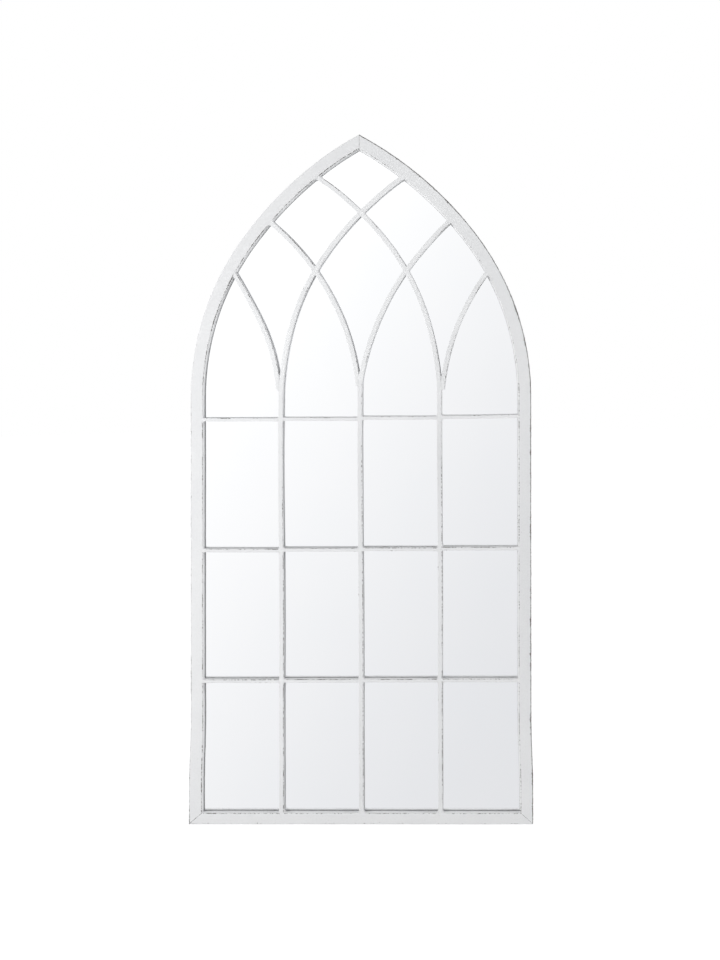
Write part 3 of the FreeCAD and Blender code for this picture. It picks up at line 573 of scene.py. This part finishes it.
barSet = {
    "width": 8.0,
    "crossWidth": 6.0,
    "front": -15.0,
    "behind": -3.0,
    "recess": 0.15,  # a bar welded in between others lies this far behind their faces
    "arris": (0.9, 0.54),  # rounding at the front and behind
    "fadeFrom": (450.0, 900.0),  # heights between which the bars' dirt, painted shade and wear grow fainter
    "fainterBy": (0.5, 0.35),  # by how much: dirt with its painted shade, wear
    "wear": (0.5, 1.0, 0.8, 0.5),  # left or lower front arris, right or upper; behind: right, left
    "flippedWear": (1.0, 0.5, 0.5, 0.8),  # of a bar made on the left and mirrored to the right
    "cut": 1.9,  # length of the mesh's faces round the section
    "faceDirt": 0.15,
    "sideDirtAndShade": (0.95, 1.0),  # dirt and painted shade down the side of an upright, darker towards the recess, and at the glass
    "topDirtAndShade": (0.5, 0.62),  # the same on a cross bar
    "railTop": 20.1,
    "intoFrame": 0.8,  # how far a bar's end goes into the frame's wall
    "intoBar": 0.6,  # and a cross bar's into an upright
    "pastFrame": 3.0,  # degrees that an arc is drawn past the frame before it is cut
    "pitch": 140.5,
    "spring": 754.0,
    "tipShift": 0.4,
    "handled": (  # x, z, reach in x, reach in z, and by what dirt with its painted shade, and wear, are multiplied there; under 1 at the two crotches it is painted light against the shade between the prongs
        (-143.0, 830.0, 30.0, 50.0, 0.3, 1.0), (-4.0, 805.0, 25.0, 30.0, 0.5, 1.0),
        (-226.0, 976.0, 45.0, 55.0, 1.0, 1.9), (158.0, 830.0, 30.0, 60.0, 1.6, 1.3),
        (-50.0, 1135.0, 45.0, 35.0, 1.2, 1.8), (-119.0, 1035.0, 35.0, 35.0, 1.2, 1.9),
        (148.0, 1056.0, 30.0, 20.0, 1.7, 2.0), (212.0, 952.0, 20.0, 25.0, 1.7, 1.7)),
    "paintedFaceShade": (  # x, z, reach in x, reach in z, and how much painted shade the faces get there; below nought it is painted light
        (140.5, 640.0, 50.0, 80.0, 0.11), (0.0, 640.0, 50.0, 80.0, 0.06),
        (-140.5, 210.0, 50.0, 140.0, -0.06)),
}
weldSet = {
    "leg": 2.4,
    "landingLeg": 3.8,  # the welds at the frame were laid thicker
    "uneven": (0.6, 1.25),  # by what a leg is multiplied
    "swell": (0.88, 1.12),  # the same down a bead
    "layers": 4,
    "recess": 0.3,
    "hollow": 1.7,
    "sunk": 0.35, "rimSunk": 0.6,  # how far a bead goes into its corner, and the share of it at its rim
    "atCrossing": (7.0, 0.8),  # how far the paint suffered round a weld, and how much
    "atLanding": (10.0, 1.6),
    "seamRecess": 0.12,
    "seamDepth": 2.5,
    "seamShort": 0.5,
    "seamRim": ((-0.8, -1.0), (0, -1.2), (0.8, -1.0), (1, 0.6), (0.7, 1.3), (0, 1.7), (-0.7, 1.3), (-1, 0.6)),
}
forkSet = {  # where an arc leaves the left side of an upright; the right outer arc's fork is a mirror image
    "outer": {"crotch": (-143.2, 791.0), "ways": (-0.15, 0.085), "legs": (11.0, 9.0),
              "heel": (-144.5, 772.0, 3.4), "seam": (-144.4, 783.0, 27.0),
              "marks": ((-143.2, 799.0, 7.0), (-147.0, 771.0, 7.0))},
    "inner": {"crotch": (-1.4, 789.5), "ways": (-0.18, 0.15), "legs": (5.0,),
              "heel": (-4.0, 780.0, 3.0), "seam": (-2.6, 784.0, 17.0),
              "marks": ((-1.4, 795.0, 7.0), (-6.0, 779.0, 6.0))},
    "seamLean": -0.03,
}
leftArc = (324.5, 754.0, 465.0)  # circles as (x, z, radius)
rightArc = (-324.5, 754.0, 465.0)
centreBend = (107.0, 779.0, 107.0)
centreArc = (476.95, 706.42, 484.0)
outerArc = (-573.05, 730.04, 430.0)
innerArc = (-435.16, 733.13, 434.0)
outerLean, innerLean, centreLean = 5.6, 6.2, 11.1
archLeftUpper, archLeftLower = (306.06, 663.78, 618.0), (175.0, 759.0, 456.0)
archRightUpper = (-306.06, 663.78, 618.0)
welds = []  # (x, z, direction one, direction two, leg)
seams = []  # (x, z, direction along, direction across, length)


def angleOn(circle, place):
    return math.degrees(math.atan2(place[1] - circle[1], place[0] - circle[0]))


def tangentAt(circle, place):  # unit direction of the circle's line at a place, pointing up
    x, z = unit(place[0] - circle[0], place[1] - circle[1])
    way = (-z, x)
    return way if way[1] > 0 else (z, -x)


def barSection(bm, place, half, recess, dirtAndShade=barSet["sideDirtAndShade"], wears=barSet["wear"]):  # half width: (x, z)
    front, behind = barSet["front"], barSet["behind"]
    corners = [((place[0] + s * half[0]) * mm, y * mm, (place[1] + s * half[1]) * mm)
               for s, y in ((-1, front + recess), (1, front + recess), (1, behind), (-1, behind))]
    atFront, atBack = [radius * mm for radius in barSet["arris"]]
    edges = startSection(bm, corners, (atFront, atFront, atBack, atBack), wears, barSet["cut"] * mm)
    layer = layersOf(bm)[2]
    for vert in bm.verts:  # dirt and painted shade thicken towards the glass, where shade falls; the back was hardly painted and is darkest, which shows as shade in its reflection in the gap
        deep = max(0.0, (vert.co.y / mm - front - 1) / (behind - front - 1))
        vert[layer] = dirtAndShade[1] if deep > 0.97 else max(dirtAndShade[0] * deep ** 2, barSet["faceDirt"] * (deep == 0))
    return edges


def markJoint(place, reach, soot=1.0):
    jointPlaces.append((place[0] * mm, place[1] * mm, reach * mm, soot))


def crossing(place, whole, cut, widths):  # directions and widths of the bar left whole and of the bar cut
    sine = abs(cross2(whole, cut))
    markJoint(place, *weldSet["atCrossing"])
    for t in (1, -1):
        x, z = beyond(place, cut, t * widths[0] / 2 / sine)
        seams.append((x, z, whole, (t * cut[0], t * cut[1]), widths[1] / sine))
    for s in (1, -1):
        for t in (1, -1):
            x, z = beyond(beyond(place, whole, t * widths[1] / 2 / sine), cut, s * widths[0] / 2 / sine)
            welds.append((x, z, (t * whole[0], t * whole[1]), (s * cut[0], s * cut[1]),
                          weldSet["leg"] * random.uniform(*weldSet["uneven"])))


def landing(place, along, bar, width):  # along: the frame's direction; bar: the bar's, away from the frame
    sine = abs(cross2(along, bar))
    markJoint(place, *weldSet["atLanding"])
    for t in (1, -1):
        x, z = beyond(place, along, t * width / 2 / sine)
        welds.append((x, z, (t * along[0], t * along[1]), bar,
                      weldSet["landingLeg"] * random.uniform(*weldSet["uneven"])))


def fork(kind, s=1):  # s is -1 for the mirror image
    values = forkSet[kind]
    x, z = values["crotch"]
    welds.append((s * x, z, unit(s * values["ways"][0], 1), unit(s * values["ways"][1], 1),
                  values["legs"][0 if s > 0 else 1]))
    x, z, leg = values["heel"]
    welds.append((s * x, z, (-s, 0), (0, -1), leg))
    x, z, length = values["seam"]
    seams.append((s * x, z, unit(s * forkSet["seamLean"], 1), (-s, 0), length))
    for x, z, reach in values["marks"]:
        markJoint((s * x, z), reach)


def negative(way):
    return (-way[0], -way[1])


def cutAtFrame(bm, end, arch):
    radial = unit(end[0] - arch[0], end[1] - arch[1])
    trim(bm, beyond(end, radial, barSet["intoFrame"]), radial)


width, past, pitch = barSet["width"], barSet["pastFrame"], barSet["pitch"]
foot = barSet["railTop"] - barSet["intoFrame"]
rise = barSet["spring"] - foot
bars = []  # (bmesh, name, replaced node)


def sideSection(bm, arc, lean, recess, wears=barSet["wear"]):  # where an arc leaves an upright's side
    edges = barSection(bm, (arc[0] + arc[2], arc[1]), (width / 2, 0), recess, wears=wears)
    bmesh.ops.transform(bm, matrix=turnAbout(arc[0], arc[1], -lean), verts=bm.verts, space=Matrix())
    return edges


# one bar of the tracery: from the rail, or from an upright's side, up to the frame; cut at a bar left whole
def traceryBar(pieces, arc, arch, side, start, moves, lean, recess, whole=None, near=0, tipShift=0.0):
    end = circlesMeet(arc, arch, side)
    angle = angleOn(arc, end)
    sweep = lean - angle - past if arc[0] < start else 180 - lean - angle + past
    aside = (0.0, 0.0)
    if whole:
        meet = circlesMeet(arc, whole, near)
        across = tangentAt(arc, meet)
        aside = (across[1], -across[0])
    for k, (name, node) in enumerate(pieces):
        bm = newBmesh()
        if moves:
            edges = barSection(bm, (start, foot), (width / 2, 0), recess)
        else:
            edges = sideSection(bm, arc, lean, recess)
        walk(bm, edges, moves + [arc + (sweep,)])
        if whole:
            trim(bm, meet, negative(across) if k else across)
        if k:
            bmesh.ops.translate(bm, verts=bm.verts, vec=inSpace(aside) * tipShift * mm)
        cutAtFrame(bm, end, arch)
        bars.append((bm, name, node))
    landing(beyond(end, aside, tipShift), tangentAt(arch, end), negative(tangentAt(arc, end)), width)
    if whole:
        crossing(meet, tangentAt(whole, meet), across, (width, width))


# right mullion: the only bar left whole, from the rail over the head to the left side of the arch
traceryBar((("mullionRightBar", "mullion_right"),), rightArc, archLeftUpper, -100, pitch, [(0, rise)], 0, 0.0)
# left mullion: its bar is cut where the right one passes, and goes on beyond it
traceryBar((("mullionLeftBar", "mullion_left"), ("leftBarTip", "left_bar_tip")), leftArc, archRightUpper, 100,
           -pitch, [(0, rise)], 0, barSet["recess"], rightArc)
# centre mullion: straight, a short bend, then its arc to the right, cut at the right bar; its tip is off line
traceryBar((("mullionCentreBar", "mullion_centre"), ("centreBarTip", "centre_bar_tip")), centreArc,
           archRightUpper, 150, 0, [(0, centreBend[1] - foot), centreBend + (centreLean,)], centreLean,
           barSet["recess"], rightArc, 80, barSet["tipShift"])

# outer arcs: from the outer mullions' sides up to the frame
end = circlesMeet(outerArc, archLeftLower, -220)
way, off = tangentAt(archLeftLower, end), negative(tangentAt(outerArc, end))
for name, node, s in (("outerArcLeft", "outer_arc_left", 1), ("outerArcRight", "outer_arc_right", -1)):
    bm = newBmesh()
    edges = sideSection(bm, outerArc, outerLean, barSet["recess"], barSet["wear" if s > 0 else "flippedWear"])
    walk(bm, edges, [outerArc + (outerLean - angleOn(outerArc, end) - past,)])
    cutAtFrame(bm, end, archLeftLower)
    if s < 0:
        mirrorX(bm)
    bars.append((bm, name, node))
    landing((s * end[0], end[1]), (s * way[0], way[1]), (s * off[0], off[1]), width)
    fork("outer", s)

# inner arc: from the centre mullion's side to the frame, cut where the left bar passes through it
traceryBar((("innerArcLower", "inner_arc_lower"), ("innerArcUpper", "inner_arc_upper")), innerArc,
           archLeftUpper, -150, 0, [], innerLean, barSet["recess"] * 2, leftArc, -60)
fork("inner")

# cross bars: three rows of four, each cut to its bay
rowSet = {"bottom": (254.2, 254.8, 255.3, 255.6), "middle": (486.2, 487.6, 488.6, 489.8),
          "top": (719.1, 719.9, 721.8, 723.3)}  # height of each bay's bar
crossWidth = barSet["crossWidth"]
lap = width / 2 - barSet["intoBar"]
for row, heights in rowSet.items():
    for bay, z in enumerate(heights):
        left = (bay - 2) * pitch + (lap if bay else -barSet["intoFrame"])
        right = (bay - 1) * pitch - (lap if bay < 3 else -barSet["intoFrame"])
        bm = newBmesh()
        edges = barSection(bm, (left, z), (0, crossWidth / 2), barSet["recess"], barSet["topDirtAndShade"])
        walk(bm, edges, [(right - left, 0)])
        bars.append((bm, "crossBar_%s_%d" % (row, bay + 1), "cross_bar_%s_%d" % (row, bay + 1)))
        if bay:
            crossing(((bay - 2) * pitch, (z + heights[bay - 1]) / 2), (0, 1), (1, 0), (width, crossWidth))
        else:
            landing(((bay - 2) * pitch, z), (0, 1), (1, 0), crossWidth)
        if bay == 3:
            landing(((bay - 1) * pitch, z), (0, 1), (-1, 0), crossWidth)
for x in (-pitch, 0, pitch):
    landing((x, barSet["railTop"]), (1, 0), (0, 1), width)

low, high = barSet["fadeFrom"]
for bm, name, node in bars:
    closeEnds(bm)
    wear, joint, dirtAndShade = layersOf(bm)
    for vert in bm.verts:
        fading = min(1, max(0, (vert.co.z / mm - low) / (high - low)))
        vert[dirtAndShade] *= 1 - barSet["fainterBy"][0] * fading
        vert[wear] *= 1 - barSet["fainterBy"][1] * fading
        for *where, dirtBy, wearBy in barSet["handled"]:
            share = shareAt(vert.co, *where)
            vert[dirtAndShade] *= 1 + (dirtBy - 1) * share
            vert[wear] *= 1 + (wearBy - 1) * share
    paintFaceShade(bm, barSet["paintedFaceShade"])
    byHand(bm, handwork["barsOff"])
    toObject(bm, name, whiteEnamel, [node])
print("bars made:", len(bars))

# weld metal in the corners, ground back a little below the faces
bm = newBmesh()
front, layers = barSet["front"] + weldSet["recess"], weldSet["layers"]
down = Matrix.Translation((0, (barSet["behind"] - front) / layers * mm, 0))
for x, z, first, second, reach in welds:
    a = Vector((x * mm, front * mm, z * mm))
    pull = (inSpace(first) + inSpace(second)).normalized() * -weldSet["sunk"] * mm
    one, two = inSpace(first) * reach * mm, inSpace(second) * reach * mm
    rim = [a + one.lerp(two, t) * (1 - weldSet["hollow"] * t * (1 - t)) + pull * weldSet["rimSunk"]
           for t in (0.0, 0.25, 0.5, 0.75, 1.0)]
    verts = [bm.verts.new(place) for place in [a + pull] + rim]
    edges = [bm.edges.new((verts[i - 1], verts[i])) for i in range(len(verts))]
    around = Matrix.Translation(a)
    for k in range(layers):
        swell = random.uniform(*weldSet["swell"])
        grow = around @ Matrix.Diagonal((swell, 1, swell, 1)) @ around.inverted()
        edges = extrudeStep(bm, edges, down @ grow)
for x, z, along, across, length in seams:  # ground flush, so that the cut bar runs into the whole one
    a = Vector((x * mm, (barSet["front"] + weldSet["seamRecess"]) * mm, z * mm))
    one, two = inSpace(along) * (length / 2 - weldSet["seamShort"]) * mm, inSpace(across) * mm
    verts = [bm.verts.new(a + one * u + two * v) for u, v in weldSet["seamRim"]]
    edges = [bm.edges.new((verts[i - 1], verts[i])) for i in range(len(verts))]
    extrudeStep(bm, edges, Matrix.Translation((0, weldSet["seamDepth"] * mm, 0)))
closeEnds(bm)
dirtAndShade = layersOf(bm)[2]
for vert in bm.verts:
    vert[dirtAndShade] = barSet["faceDirt"]
byHand(bm, handwork["barsOff"])
toObject(bm, "weldBeads", whiteEnamel, [])
print("welds made:", len(welds))

channelSet = {
    "face": (22.8, 22.0, 20.1),  # right stile, whose face came out wider, left stile, rail
    "ledge": (3.2, 3.2, 1.6),  # the same order here and in the next three
    "lean": (0.0, 0.6, -0.3),  # how far the wall leans outwards
    "foldWear": ((1.9, 0.95), (1.0, 0.9), (0.6, 0.9)),  # outer fold, inner fold
    # dirt and painted shade on the ledge, darkest where the wall shades it
    "ledgeDirtAndShade": (0.12, 0.7, 0.95),
    "front": -15.0,
    "ledgeFront": -3.0,
    "metal": 1.5,
    "back": 15.0,
    "footEdge": 306.4,
    "cutLength": 3.0,
    "radii": (1.5, 1.1, 0.4, 0.45, 0.3, 0.4, 0.3, 0.3, 0.3, 0.4),  # outer fold, inner fold, other edges
    "restWear": (0.0, 0.75, 0.2, 0.0, 0.0, 0.0, 0.4, 0.8),
    "rubbed": ((0.5, 0.1), (1.3, 0.5), (2.0, 1.0), (3.2, 0.45)),  # outer fold: up to how far in, share
    "faceDirt": 0.13,
    # dirt and painted shade on the inner wall, growing towards the ledge
    "wallDirtAndShade": 0.03,
    # painted shade and light on the fronts, listed as for the bars
    "paintedFaceShade": ((295.0, 440.0, 60.0, 230.0, 0.065), (150.0, 1120.0, 120.0, 90.0, -0.04)),
    "glassEdgeDirtAndShade": 0.85,  # dirt and painted shadow along the ledge's edge at the glass
    "insideDirt": 0.35,
    "outsidePaintedShade": 0.4,  # painted shade: the outer wall is darkened, so that the side lamp does not burn it white
    "depths": (0.5, 1.0, 1.4, 1.6),  # where the face ends, the inside begins, rubbing ends, the wall begins
    "margin": 0.3,
    "crack": 0.9,  # width of the cracked paint at a mitre
    "crackWear": 1.35,
}


def channelCorners(kind):  # (inwards, depth) round the section; kind: 0 right stile, 1 left stile, 2 rail
    face, lean, ledge = [channelSet[key][kind] for key in ("face", "lean", "ledge")]
    front, ledgeFront, back, metal = [channelSet[key] for key in ("front", "ledgeFront", "back", "metal")]
    return [(0, front), (face, front), (face + lean, ledgeFront), (face + ledge, ledgeFront),
            (face + ledge, ledgeFront + metal), (face + lean - metal, ledgeFront + metal),
            (face - metal, front + metal), (metal, front + metal), (metal, back), (0, back)]


foldRadii = [radius * mm for radius in channelSet["radii"]]
mitreWay = unit(-channelSet["face"][1], channelSet["face"][2])
mitreNormal = (mitreWay[1], -mitreWay[0])  # points up and outwards from the right-hand mitre
archSet = {
    "lower": (-175.0, 759.0, 478.0),  # the arch's two arcs as (x, z, radius) of its outer line
    "upper": (-306.06, 663.78, 640.0),
    "turns": (-36.0, -29.0),  # degrees along each, past the apex
    "change": 1040.0,  # height at which one arc goes over into the other
    "stileEdge": 303.0,
    "splay": (1883.2, 2.4353),  # radius and degrees of the two bends that carry the foot out
    "splayFrom": (44.0, 204.0),
    "ledgeCut": 0.8,
    "folds": (3.5, 2.5),  # how far the outer and the inner fold reach
    "fadeFrom": (760.0, 900.0),  # above the springing the left ledge's dirt and painted shade grow fainter, and the right one's grow
    "fadeLedge": (-0.2, 0.85),  # right, left
    "outerWear": (1.0, 0.45),  # the same for the outer fold's wear, right and left
    "innerWear": (0.72, 1.3),  # and the inner fold's
}


# dirt and painted shade round the channel's section, and wear on its outer fold
def soilAndShadeFrame(bm, inward, kind):  # inward: a point's distance from the outer side
    wear, joint, dirtAndShade = layersOf(bm)
    face, lean, ledge, ledgeDirtAndShade = [channelSet[key][kind] for key in ("face", "lean", "ledge", "ledgeDirtAndShade")]
    margin, ledgeFront = channelSet["margin"], channelSet["ledgeFront"]
    faceEnd, inside, rubbedEnd, outside = [channelSet["front"] + depth for depth in channelSet["depths"]]
    for vert in bm.verts:
        across, depth = inward(vert.co) / mm, vert.co.y / mm
        if across > face + ledge - margin:
            vert[dirtAndShade] = channelSet["glassEdgeDirtAndShade"]
        elif across > face + lean + margin:
            vert[dirtAndShade] = ledgeDirtAndShade
        elif across > face - margin and depth > inside:
            vert[dirtAndShade] = channelSet["wallDirtAndShade"] * ((depth - inside) / (ledgeFront - inside)) ** 2
        elif across > margin and depth > inside:
            vert[dirtAndShade] = channelSet["insideDirt"]
        elif depth > outside:
            vert[dirtAndShade] = channelSet["outsidePaintedShade"]
        elif depth < faceEnd:
            vert[dirtAndShade] = channelSet["faceDirt"]
        for limit, share in channelSet["rubbed"]:
            if across < limit:
                vert[wear] = channelSet["foldWear"][kind][0] * share * (depth < rubbedEnd)
                break


def channelSection(kind, place, inward):  # place: the point for (inwards, depth)
    bm = newBmesh()
    corners = [place(*corner) for corner in channelCorners(kind)]
    wears = channelSet["foldWear"][kind] + channelSet["restWear"]
    edges = startSection(bm, corners, foldRadii, wears, channelSet["cutLength"] * mm)
    soilAndShadeFrame(bm, inward, kind)
    return bm, edges


def finishArch(bm, kind):  # the ledge was ground back to fit the frame
    wear, joint, dirtAndShade = layersOf(bm)
    face, ledgeDirtAndShade = channelSet["face"][1], channelSet["ledgeDirtAndShade"][kind]
    outerWear, innerWear = archSet["outerWear"][kind], archSet["innerWear"][kind]
    low, high = archSet["fadeFrom"]
    outer, inner = archSet["folds"]
    for vert in bm.verts:
        x, z, radius = archSet["lower" if vert.co.z < archSet["change"] * mm else "upper"]
        away = Vector((vert.co.x - x * mm, 0, max(0, vert.co.z - z * mm)))
        fading = min(1, max(0, (vert.co.z / mm - low) / (high - low)))
        if away.length > (radius - outer) * mm:
            vert[wear] *= 1 - (1 - outerWear) * fading
        elif abs(away.length - (radius - face) * mm) < inner * mm:
            vert[wear] *= 1 - (1 - innerWear) * fading
        onLedge = abs(vert[dirtAndShade] - ledgeDirtAndShade) < 0.001
        if onLedge or abs(vert[dirtAndShade] - channelSet["glassEdgeDirtAndShade"]) < 0.001:
            vert.co += away.normalized() * archSet["ledgeCut"] * mm
        # the ledge's dirt and painted shade fade or grow with height
        if onLedge:
            vert[dirtAndShade] *= 1 - archSet["fadeLedge"][kind] * fading


def mitre(bm, place, normal):  # cuts the end off; paint has cracked along the joint
    inside = beyond(place, normal, -channelSet["crack"])
    geom = list(bm.verts) + list(bm.edges) + list(bm.faces)
    bmesh.ops.bisect_plane(bm, geom=geom, dist=0.0000001, plane_co=(inside[0] * mm, 0, inside[1] * mm),
                           plane_no=(normal[0], 0, normal[1]))
    trim(bm, place, normal)
    wear = layersOf(bm)[0]
    for vert in bm.verts:
        over = (vert.co.x - place[0] * mm) * normal[0] + (vert.co.z - place[1] * mm) * normal[1]
        if abs(over) < 0.00002 and vert.co.y < (channelSet["front"] + 1) * mm:
            vert[wear] = channelSet["crackWear"]


edge = channelSet["footEdge"]
radius, turn = archSet["splay"]
low, high = archSet["splayFrom"]
stileWay = [(0, low), (edge - radius, low, radius, -turn),
            (archSet["stileEdge"] + radius, high, radius, turn), (0, archSet["lower"][1] - high),
            archSet["lower"] + archSet["turns"][:1], archSet["upper"] + archSet["turns"][1:]]
for kind, (name, node) in enumerate((("stileRight", "right_stile"), ("stileLeft", "left_stile"))):
    bm, edges = channelSection(kind, lambda across, depth: ((edge - across) * mm, depth * mm, 0),
                               lambda co: edge * mm - co.x)
    walk(bm, edges, stileWay, 5.0)
    finishArch(bm, kind)
    mitre(bm, (edge, 0), negative(mitreNormal))
    mitre(bm, (0, 0), (-1, 0))
    closeEnds(bm)
    if kind == 1:
        mirrorX(bm)
    paintFaceShade(bm, channelSet["paintedFaceShade"])
    byHand(bm, handwork["frameOff"])
    toObject(bm, name, whiteEnamel, [node])

bm, edges = channelSection(2, lambda across, depth: (-edge * mm, depth * mm, across * mm), lambda co: co.z)
walk(bm, edges, [(2 * edge, 0)], 5.0)
mitre(bm, (edge, 0), mitreNormal)
mitre(bm, (-edge, 0), (-mitreNormal[0], mitreNormal[1]))
closeEnds(bm)
byHand(bm, handwork["frameOff"])
toObject(bm, "bottomRail", whiteEnamel, ["bottom_rail"])
print("frame made")


def copyOfNode(node):
    bm = newBmesh()
    bm.from_mesh(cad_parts[node].data)
    bmesh.ops.remove_doubles(bm, verts=bm.verts, dist=0.000002)
    bmesh.ops.dissolve_limit(bm, angle_limit=math.radians(0.3), verts=bm.verts, edges=bm.edges)
    return bm


mirrorSet = {
    "seam": 0.4,  # the glass's edges are seamed so that they do not cut
    "gap": 0.06,  # paint film between the silver and the board, and between the glass and the ledge
    "sharp": 60.0, "smooth": 30.0,
}
bm = copyOfNode("mirror_glass")
sharp = math.radians(mirrorSet["sharp"])
rim = [e for e in bm.edges if len(e.link_faces) == 2 and e.calc_face_angle() > sharp
       and abs(e.verts[0].co.y - e.verts[1].co.y) < 0.0001]
bmesh.ops.bevel(bm, geom=rim, offset=mirrorSet["seam"] * mm, segments=1, profile=0.5, affect="EDGES",
                material=-1)
bm.normal_update()
for vert in bm.verts:
    vert.co.y += mirrorSet["gap"] * mm * (1 if vert.co.y < 0 else -1)
for face in bm.faces:
    face.material_index = 0 if face.normal.y < -0.99 else 1
toObject(bm, "silveredGlass", [silver, glassEdge], ["mirror_glass"], mirrorSet["smooth"])

backSet = {
    "sharp": 50.0,  # edges sharper than this are softened
    "smooth": 20.0,
    "slot": 1.0, "slotDepth": 0.8, "slotNear": 0.3,  # of the screws
}


def softened(bm, offset):  # takes off the sharp edges of a copied solid
    rims = [e for e in bm.edges
            if len(e.link_faces) == 2 and e.calc_face_angle() > math.radians(backSet["sharp"])]
    bmesh.ops.bevel(bm, geom=rims, offset=offset * mm, segments=2, profile=0.5, affect="EDGES", material=-1,
                    clamp_overlap=True)


def islands(bm):  # in the mesh's own order, so that each run gives the same
    found, seen = [], set()
    for start in bm.verts:
        if start in seen:
            continue
        group, front = [], [start]
        seen.add(start)
        while front:
            vert = front.pop()
            group.append(vert)
            for near in (e.other_vert(vert) for e in vert.link_edges):
                if near not in seen:
                    seen.add(near)
                    front.append(near)
        found.append(group)
    return found


def cutSlot(bm, group):  # a screwdriver slot across a screw's head, at its own angle
    low = Vector([min(v.co[k] for v in group) for k in range(3)])
    high = Vector([max(v.co[k] for v in group) for k in range(3)])
    middle, angle = (low + high) / 2, random.uniform(0, math.pi)
    across, half = Vector((math.cos(angle), 0, math.sin(angle))), backSet["slot"] / 2 * mm
    members = set(group)
    for sign in (1, -1):
        geom = [v for v in bm.verts if v in members] + [e for e in bm.edges if e.verts[0] in members]
        geom += [f for f in bm.faces if f.verts[0] in members]
        cut = bmesh.ops.bisect_plane(bm, geom=geom, dist=0.0000001, plane_co=middle + across * half * sign,
                                     plane_no=across)
        members |= {g for g in cut["geom_cut"] if isinstance(g, bmesh.types.BMVert)}
    floor = [f for f in bm.faces if f.verts[0] in members and f.normal.y > 0.99
             and f.calc_center_median().y > high.y - backSet["slotNear"] * mm
             and abs((f.calc_center_median() - middle).dot(across)) < half]
    made = bmesh.ops.extrude_face_region(bm, geom=floor)["geom"]
    bmesh.ops.delete(bm, geom=floor, context="FACES_ONLY")
    verts = [g for g in made if isinstance(g, bmesh.types.BMVert)]
    bmesh.ops.translate(bm, verts=verts, vec=(0, -backSet["slotDepth"] * mm, 0))


for name, node, material, slotName, offset in (  # offset: how far the edges are softened
        ("mdfBacking", "backing_board", board, "fibreboard", 0.5),
        ("sheetClips", "retaining_clips", zinc, "zinc_steel", 0.2),
        ("slottedScrews", "clip_screws", zinc, "zinc_steel", 0.25),
        ("hangerLeft", "hanger_left", whiteEnamel, "painted_iron", 0.25),
        ("hangerRight", "hanger_right", whiteEnamel, "painted_iron", 0.25)):
    bm = copyOfNode(node)
    softened(bm, offset)
    bm.normal_update()
    if node == "clip_screws":
        for group in islands(bm):
            cutSlot(bm, group)
    toObject(bm, name, material, [node], backSet["smooth"])
print("backing finished")
